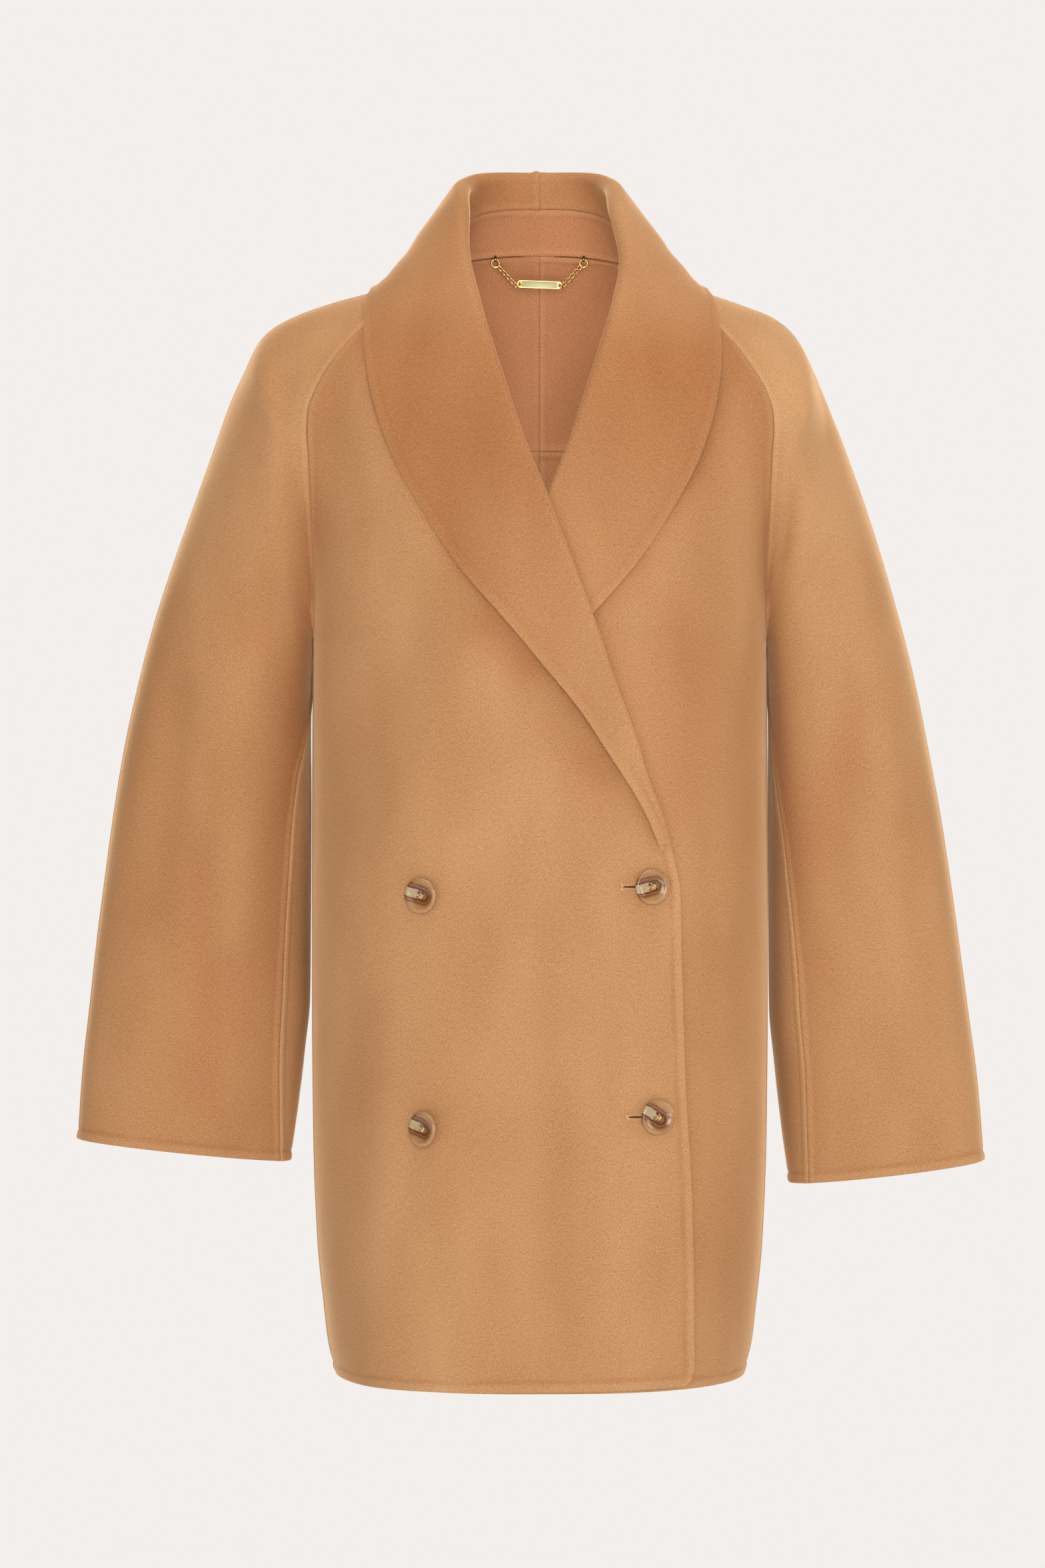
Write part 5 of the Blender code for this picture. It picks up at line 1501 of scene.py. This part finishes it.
def polished_horn():
    """Ox horn, cut and polished: a pale streak ringed by brown growth bands under a hard gloss."""
    made, tree, shader = start_material("Polished ox horn")
    place = add_node(tree, "ShaderNodeUVMap", uv_map="Grain")
    wobble = add_node(tree, "ShaderNodeTexNoise", {
        "Vector": place.outputs["UV"], "Scale": 1 / HORN_WOBBLE, "Detail": 2.0})
    shift = add_node(tree, "ShaderNodeVectorMath", {0: wobble.outputs["Color"], 1: (0.5, 0.5, 0.5)},
                     operation="SUBTRACT")
    shift = add_node(tree, "ShaderNodeVectorMath", {0: shift.outputs["Vector"], "Scale": HORN_SHIFT},
                     operation="SCALE")
    moved = add_node(tree, "ShaderNodeVectorMath", {0: place.outputs["UV"], 1: shift.outputs["Vector"]})
    axes = add_node(tree, "ShaderNodeSeparateXYZ", {"Vector": moved.outputs["Vector"]})
    beyond = add_node(tree, "ShaderNodeMath", {0: axes.outputs["X"], 1: STREAK_END}, operation="SUBTRACT")
    beyond = add_node(tree, "ShaderNodeMath", {0: beyond.outputs[0], 1: 0.0}, operation="MAXIMUM")
    narrow = add_node(tree, "ShaderNodeMath", {0: axes.outputs["Y"], 1: -NARROW_SIDE}, operation="MULTIPLY")
    side = add_node(tree, "ShaderNodeMath", {0: axes.outputs["Y"], 1: narrow.outputs[0]}, operation="MAXIMUM")
    side = add_node(tree, "ShaderNodeCombineXYZ", {"X": beyond.outputs[0], "Y": side.outputs[0]})
    reach = add_node(tree, "ShaderNodeVectorMath", {0: side.outputs["Vector"]}, operation="LENGTH")
    share = add_node(tree, "ShaderNodeMapRange", {
        "Value": reach.outputs["Value"], "From Max": HORN_REACH * MM})
    bands = add_node(tree, "ShaderNodeValToRGB", {"Fac": share.outputs["Result"]},
                     stops=[(at / HORN_REACH, linear(code)) for at, code in HORN_BANDS])
    within = add_node(tree, "ShaderNodeMapRange", {
        "Value": reach.outputs["Value"], "From Min": STREAK_EDGE[0], "From Max": STREAK_EDGE[1],
        "To Min": 1.0, "To Max": 0.0})
    before = add_node(tree, "ShaderNodeMapRange", {
        "Value": axes.outputs["X"], "From Min": STREAK_FADE[0], "From Max": STREAK_FADE[1],
        "To Min": 1.0, "To Max": 0.0})
    pale = add_node(tree, "ShaderNodeMath", {0: within.outputs["Result"], 1: before.outputs["Result"]},
                    operation="MULTIPLY")
    bands = add_node(tree, "ShaderNodeMix", {
        "Factor": pale.outputs[0], 6: bands.outputs["Color"], 7: rgba(linear(STREAK_COLOUR))},
        data_type="RGBA")
    grain = add_node(tree, "ShaderNodeMapping", {
        "Vector": moved.outputs["Vector"], "Scale": (VEIN_STRETCH, 1.0, 1.0)})
    veins = add_node(tree, "ShaderNodeTexNoise", {
        "Vector": grain.outputs["Vector"], "Scale": 1 / HORN_VEIN, "Detail": 3.0})
    tone = add_node(tree, "ShaderNodeMapRange", {
        "Value": veins.outputs["Fac"], "From Min": 0.3, "From Max": 0.7,
        "To Min": VEIN_TONE[0], "To Max": VEIN_TONE[1]})
    colour = add_node(tree, "ShaderNodeVectorMath", {0: bands.outputs[2], "Scale": tone.outputs["Result"]},
                      operation="SCALE")
    set_sockets(tree, shader, {"Base Color": colour.outputs["Vector"], "Roughness": 0.3, "Coat Weight": 0.45,
                               "Coat Roughness": 0.06})
    return made


@lru_cache(maxsize=None)
def plain_stuff(name, colour, roughness, metallic):
    """A material of one even colour."""
    made, tree, shader = start_material(name)
    set_sockets(tree, shader, {
        "Base Color": rgba(colour), "Roughness": roughness, "Metallic": metallic})
    return made


def trim(part):
    """The stuff of a trim, in the colour that the settings give it."""
    # Twisted thread is matt and a little fuzzy; brass is polished, its plate lacquered pale
    name, roughness, metallic = {
        "pale_thread": ("Twisted cotton thread, pale", 0.9, 0.0),
        "dark_thread": ("Twisted silk thread, dark", 0.8, 0.0),
        "brass": ("Polished brass", 0.24, 1.0),
        "plate": ("Pale lacquered brass", 0.4, 0.2)}[part]
    return plain_stuff(name, tuple(getattr(bpy.context.scene.wool_coat, part)), roughness, metallic)


class COAT_OT_buttons(CoatOperator, bpy.types.Operator):
    """Turn the four horn buttons and sew them on"""

    bl_idname = "coat.buttons"
    bl_label = "Buttons"

    def execute(self, context):
        # Here and below, the sine of a whole number times a few stands for the unevenness of hand work
        pattern = horn_button(polished_horn())
        thread = strand("thread", trim("pale_thread"), *THREAD)
        shank = new_piece("shank", bpy.ops.mesh.primitive_cylinder_add, vertices=HOLE_SIDES,
                          radius=SHANK_RADIUS, depth=SHANK_DEPTH)
        finished(shank, trim("pale_thread"), BUTTON_CREASE)
        for number, (x, z, streak, tilt, axis, wide) in enumerate(BUTTONS, 1):
            seat = on_front(x, z)
            lift = context.scene.wool_coat.button_lift + BUTTON_RADIUS * sin(radians(abs(tilt)))
            leaning = spun(tilt, Vector((cos(radians(axis)), sin(radians(axis)), 0.0)))
            place = seat @ Matrix.Translation((0.0, 0.0, lift)) @ leaning @ spun(streak)
            button = placed_copy(pattern, f"button_{number}_horn", place)
            for corner in button.data.uv_layers["Grain"].data:
                corner.uv.y *= wide
            settle(button, "coat", f"button_{number}")
            reach = Matrix.Diagonal((1.0, 1.0, (lift + SHANK_SUNK) / SHANK_DEPTH, 1.0))
            sewn = [placed_copy(shank, "shank", seat @ Matrix.Translation((0.0, 0.0, lift / 2)) @ reach)]
            for k, (off_x, off_y, turn, size) in enumerate(THREADS):
                at = place @ Matrix.Translation((off_x * MM, off_y * MM, THREAD_HEIGHT))
                lie = spun(turn + THREAD_SWING * sin(5.0 * number + 2.3 * k)) @ Matrix.Scale(size, 4)
                sewn.append(placed_copy(thread, "thread", at @ lie))
            settle(joined(f"button_{number}_thread", sewn), "coat")
        for piece in (pattern, thread, shank):
            discard(piece)
        return {"FINISHED"}


class COAT_OT_buttonholes(CoatOperator, bpy.types.Operator):
    """Work the two buttonholes of the right front"""

    bl_idname = "coat.buttonholes"
    bl_label = "Buttonholes"

    def execute(self, context):
        length = context.scene.wool_coat.hole_length
        # The slit: a dark strand sunk in the cloth, partly thread and partly painted shade of the opening
        slit = strand("slit", trim("dark_thread"), length, SLIT_RADIUS)
        stitch = strand("stitch", trim("pale_thread"), *HOLE_STITCH)
        for number in HOLED_BUTTONS:
            x, z = BUTTONS[number - 1][:2]
            seat = on_front(x + HOLE_SHIFT, z)
            made = [placed_copy(slit, "slit", seat @ Matrix.Translation((0.0, 0.0, -SLIT_SUNK)))]
            for k in range(HOLE_STITCHES):
                along = length * (k / (HOLE_STITCHES - 1) - 0.5) + STITCH_STRAY * sin(9.0 * k)
                uneven = sin(7.1 * k + number)
                for side in (-1, 1):
                    at = Matrix.Translation((along, side * (STITCH_OFF + STITCH_STRAY * uneven), 0.0))
                    lean = spun(90 + STITCH_LEAN * uneven * side)
                    made.append(placed_copy(stitch, "stitch", seat @ at @ lean))
            for k in range(HOLE_TUFT):
                turn = 180 + (k - (HOLE_TUFT - 1) / 2) * TUFT_FAN + TUFT_STRAY * sin(4.0 * k + number)
                at = Matrix.Translation((-length / 2 + TUFT_ROOT[0] * sin(5.0 * k),
                                         TUFT_ROOT[1] * sin(2.7 * k + number), TUFT_ROOT[2]))
                size = Matrix.Scale(TUFT_SIZES[0] + TUFT_SIZES[1] * sin(3.0 * k + number), 4)
                out = Matrix.Translation((TUFT_OUT, 0.0, 0.0))
                made.append(placed_copy(stitch, "stitch", seat @ at @ spun(turn) @ out @ size))
            settle(joined(f"buttonhole_{number}_stitches", made), "coat")
        discard(slit)
        discard(stitch)
        return {"FINISHED"}


def chain_link(stuff):
    """One link of the chain: a round of wire drawn out, its ends twisted so that the next lies flat."""
    return drawn_out(wire_ring("link", stuff, LINK_ROUND, LINK_THICK, LINK_SIDES), LINK_STRAIGHT, LINK_TWIST)


def hanger_bar(stuffs):
    """The plate: a bar with rounded corners, a raised rim round a plain face, and a slot at each end."""
    plate = slab("hanger_plate_brass", (PLATE_LENGTH, PLATE_THICK, PLATE_HEIGHT))
    select_edges(plate, lambda first, second: abs(first.y - second.y) > PLATE_THICK / 2)
    bpy.ops.mesh.bevel(offset=PLATE_CORNER, segments=CORNER_STEPS, affect="EDGES")
    bpy.ops.object.mode_set(mode="OBJECT")
    slots = []
    for side in (-1, 1):
        slot = new_piece("slot", bpy.ops.mesh.primitive_cylinder_add, vertices=SLOT_SIDES,
                         radius=SLOT_WIDTH / 2, depth=SLOT_LENGTH, rotation=(pi / 2, 0.0, 0.0),
                         location=(side * SLOT_PLACE, 0.0, 0.0))
        slot.scale = (1.0, SLOT_HEIGHT / SLOT_WIDTH, 1.0)
        slots.append(slot)
    finished(bevelled(carved(plate, slots), PLATE_SOFT, SOFT_STEPS), stuffs[0], PLATE_CREASE)
    face = slab("face", (FACE_LENGTH, PLATE_THICK, FACE_HEIGHT), (0.0, -FACE_OUT, 0.0))
    finished(bevelled(face, PLATE_SOFT, SOFT_STEPS), stuffs[1], PLATE_CREASE)
    rim = wire_ring("rim", stuffs[0], PLATE_HEIGHT / 2 - RIM_WIRE, RIM_WIRE, RIM_SIDES, (pi / 2, 0.0, 0.0))
    drawn_out(rim, (PLATE_LENGTH - PLATE_HEIGHT) / 2)
    rim.data.transform(Matrix.Translation((0.0, -PLATE_THICK / 2, 0.0)))
    return joined("hanger_plate_brass", [plate, face, rim])


class COAT_OT_hanger(CoatOperator, bpy.types.Operator):
    """Make the hanger: rings tacked to the neck seam, two short chains and a plate"""

    bl_idname = "coat.hanger"
    bl_label = "Hanger chain"

    def execute(self, context):
        brass = trim("brass")
        ring = wire_ring("ring", brass, RING_RADIUS, RING_WIRE, RING_SIDES, (pi / 2, 0.0, 0.0))
        link = chain_link(brass)
        tack = wire_ring("tack", trim("dark_thread"), TACK_RADIUS, TACK_WIRE, TACK_SIDES, (0.0, pi / 2, 0.0))
        pitch = 2 * LINK_HALF - 2 * LINK_WIRE - LINK_PLAY
        start = LINK_HALF - (LINK_WIRE + RING_WIRE + LINK_PLAY / 2)
        chain = start + (LINKS - 1) * pitch + LINK_HALF - LINK_WIRE
        bar_x = PLATE_LENGTH / 2 - PLATE_BAR / 2
        drop = ((RING_RADIUS + chain) ** 2 - (HANGER_X - bar_x) ** 2) ** 0.5
        for name, side in (("right", -1), ("left", 1)):
            hung = Vector((side * HANGER_X, HANGER_Y, RING_Z))
            way = (Vector((side * bar_x, HANGER_Y, RING_Z - drop)) - hung).normalized()
            made = placed_copy(ring, f"ring_{name}_brass", Matrix.Translation(hung))
            settle(made, "hanger", f"ring_{name}")
            for k in range(LINKS):
                far = RING_RADIUS + start + k * pitch
                turn = spun(-side * LINK_TURN + LINK_SWING * sin(3.1 * k), "X")
                place = frame_at(hung + way * far, (0.0, -1.0, 0.0), way) @ turn
                made = placed_copy(link, f"link_{name}_{k + 1}_brass", place)
                settle(made, "hanger", f"link_{name}_{k + 1}")
            loops = []
            for k, lean in enumerate(TACK_LEANS):
                place = Matrix.Translation((side * HANGER_X + (k - 0.5) * TACK_STEP, HANGER_Y, TACK_Z))
                loops.append(placed_copy(tack, "tack", place @ spun(lean)))
            settle(joined(f"tack_{name}_thread", loops), "coat", f"tack_{name}")
        plate = hanger_bar((brass, trim("plate")))
        plate.data.transform(Matrix.Translation((0.0, HANGER_Y, PLATE_Z)) @ spun(PLATE_LEAN, "Y"))
        settle(plate, "hanger", "hanger_plate")
        for piece in (ring, link, tack):
            discard(piece)
        return {"FINISHED"}


class COAT_OT_stitches(CoatOperator, bpy.types.Operator):
    """Sew the hand stitches along the neck seam inside"""

    bl_idname = "coat.stitches"
    bl_label = "Neck seam stitches"

    def execute(self, context):
        grid, flip, _, _ = coat_forms()["neck_band"]
        normals = grid_normals(grid, flip)[:, 0]
        line = grid[:, 0] - normals * (CLOTH + SEAM_RIDGE / 2)
        along = lengths(line[None], 1)[0]
        stitch = strand("stitch", trim("dark_thread"), *NECK_STITCH)
        step = context.scene.wool_coat.stitch_step
        made = []
        for k in range(2, int(along[-1] / step) - 1):
            uneven = sin(12.9 * k) + 0.5 * sin(4.1 * k + 1.0)
            if uneven > NECK_SKIP:
                continue
            far = (k + NECK_STRAY * uneven) * step
            at, ahead = points_at(np.array((far, far + FACE_STEP)), along, line)
            place = frame_at(at, -points_at(far, along, normals), ahead - at) @ spun(NECK_LEAN * uneven)
            size = Matrix.Scale(NECK_SIZES[0] + NECK_SIZES[1] * uneven, 4)
            made.append(placed_copy(stitch, "stitch", place @ size))
        settle(joined("neck_stitches", made), "coat")
        discard(stitch)
        return {"FINISHED"}


class COAT_OT_stage(CoatOperator, bpy.types.Operator):
    """Set the plain floor and backdrop, the lights and the camera"""

    bl_idname = "coat.stage"
    bl_label = "Floor, light and camera"

    def execute(self, context):
        settings = context.scene.wool_coat
        # Paper lit evenly from all round shows as one flat, pale tone with no shadow
        paper, tree, shader = start_material("Matt studio paper, evenly lit")
        set_sockets(tree, shader, {
            "Base Color": (0.0, 0.0, 0.0, 1.0), "Specular IOR Level": 0.0,
            "Emission Color": rgba(settings.backdrop), "Emission Strength": 1.0})
        floor = new_piece("floor", bpy.ops.mesh.primitive_plane_add, size=STAGE_WIDTH,
                          location=(0.0, 0.0, STAGE_Z))
        select_edges(floor, lambda first, second: min(first.y, second.y) > 0)
        bpy.ops.mesh.extrude_region_move(TRANSFORM_OT_translate={"value": (0.0, 0.0, STAGE_HEIGHT)})
        bpy.ops.object.mode_set(mode="OBJECT")
        fix_place()
        finished(bevelled(floor, STAGE_SWEEP, SWEEP_STEPS), paper)
        surround = new_piece("surround", bpy.ops.mesh.primitive_uv_sphere_add, segments=48, ring_count=24,
                             radius=STAGE_RADIUS)
        surround.data.materials.append(paper)
        for rays in ("diffuse", "glossy", "transmission", "volume_scatter", "shadow"):
            setattr(surround, "visible_" + rays, False)
        world = bpy.data.worlds.new("Studio")
        context.scene.world = world
        world.use_nodes = True
        set_sockets(world.node_tree, world.node_tree.nodes["Background"], {
            "Color": rgba(linear(SKY_COLOUR)), "Strength": SKY_STRENGTH})
        for name, at, aim, size, power in LIGHTS:
            lamp = bpy.data.lights.new(name, "AREA")
            lamp.shape = "RECTANGLE"
            lamp.size, lamp.size_y = size
            lamp.energy = power
            lamp.color = linear(LAMP_COLOUR)
            held = bpy.data.objects.new(name, lamp)
            held.location = at
            held.rotation_euler = (Vector(aim) - Vector(at)).to_track_quat("-Z", "Y").to_euler()
            context.scene.collection.objects.link(held)
        eye = bpy.data.cameras.new("Camera")
        eye.sensor_fit = "VERTICAL"
        eye.sensor_height = SENSOR
        eye.lens = SENSOR * settings.camera_distance / (PICTURE_HEIGHT * PIXEL)
        eye.clip_end = CAMERA_REACH
        camera = bpy.data.objects.new("Camera", eye)
        camera.location = (CAMERA_X, -settings.camera_distance, MIDDLE_Z)
        camera.rotation_euler = (pi / 2, 0.0, 0.0)
        context.scene.collection.objects.link(camera)
        context.scene.camera = camera
        context.scene.view_settings.view_transform = "Standard"
        return {"FINISHED"}


class COAT_PT_sidebar(bpy.types.Panel):
    """The coat's pieces, in the order in which they are made"""

    bl_idname = "COAT_PT_sidebar"
    bl_label = "Wool coat"
    bl_space_type = "VIEW_3D"
    bl_region_type = "UI"
    bl_category = "Wool coat"

    def draw(self, context):
        for operator in OPERATORS:
            self.layout.operator(operator.bl_idname)
        settings = context.scene.wool_coat
        for name in settings.bl_rna.properties.keys():
            if name not in ("rna_type", "name"):
                self.layout.prop(settings, name)


OPERATORS = (COAT_OT_panels, COAT_OT_collar, COAT_OT_buttons, COAT_OT_buttonholes, COAT_OT_hanger,
             COAT_OT_stitches, COAT_OT_stage)
CLASSES = (WoolCoatSettings, *OPERATORS, COAT_PT_sidebar)


def register():
    """Add the coat's classes to Blender."""
    for made in CLASSES:
        bpy.utils.register_class(made)
    bpy.types.Scene.wool_coat = PointerProperty(type=WoolCoatSettings)


def unregister():
    """Take the coat's classes out again."""
    del bpy.types.Scene.wool_coat
    for made in reversed(CLASSES):
        bpy.utils.unregister_class(made)


def main():
    """Make the whole coat."""
    register()
    bpy.ops.coat.panels()
    bpy.ops.coat.collar()
    bpy.ops.coat.buttons()
    bpy.ops.coat.buttonholes()
    bpy.ops.coat.hanger()
    bpy.ops.coat.stitches()
    bpy.ops.coat.stage()


if __name__ == "__main__":
    main()
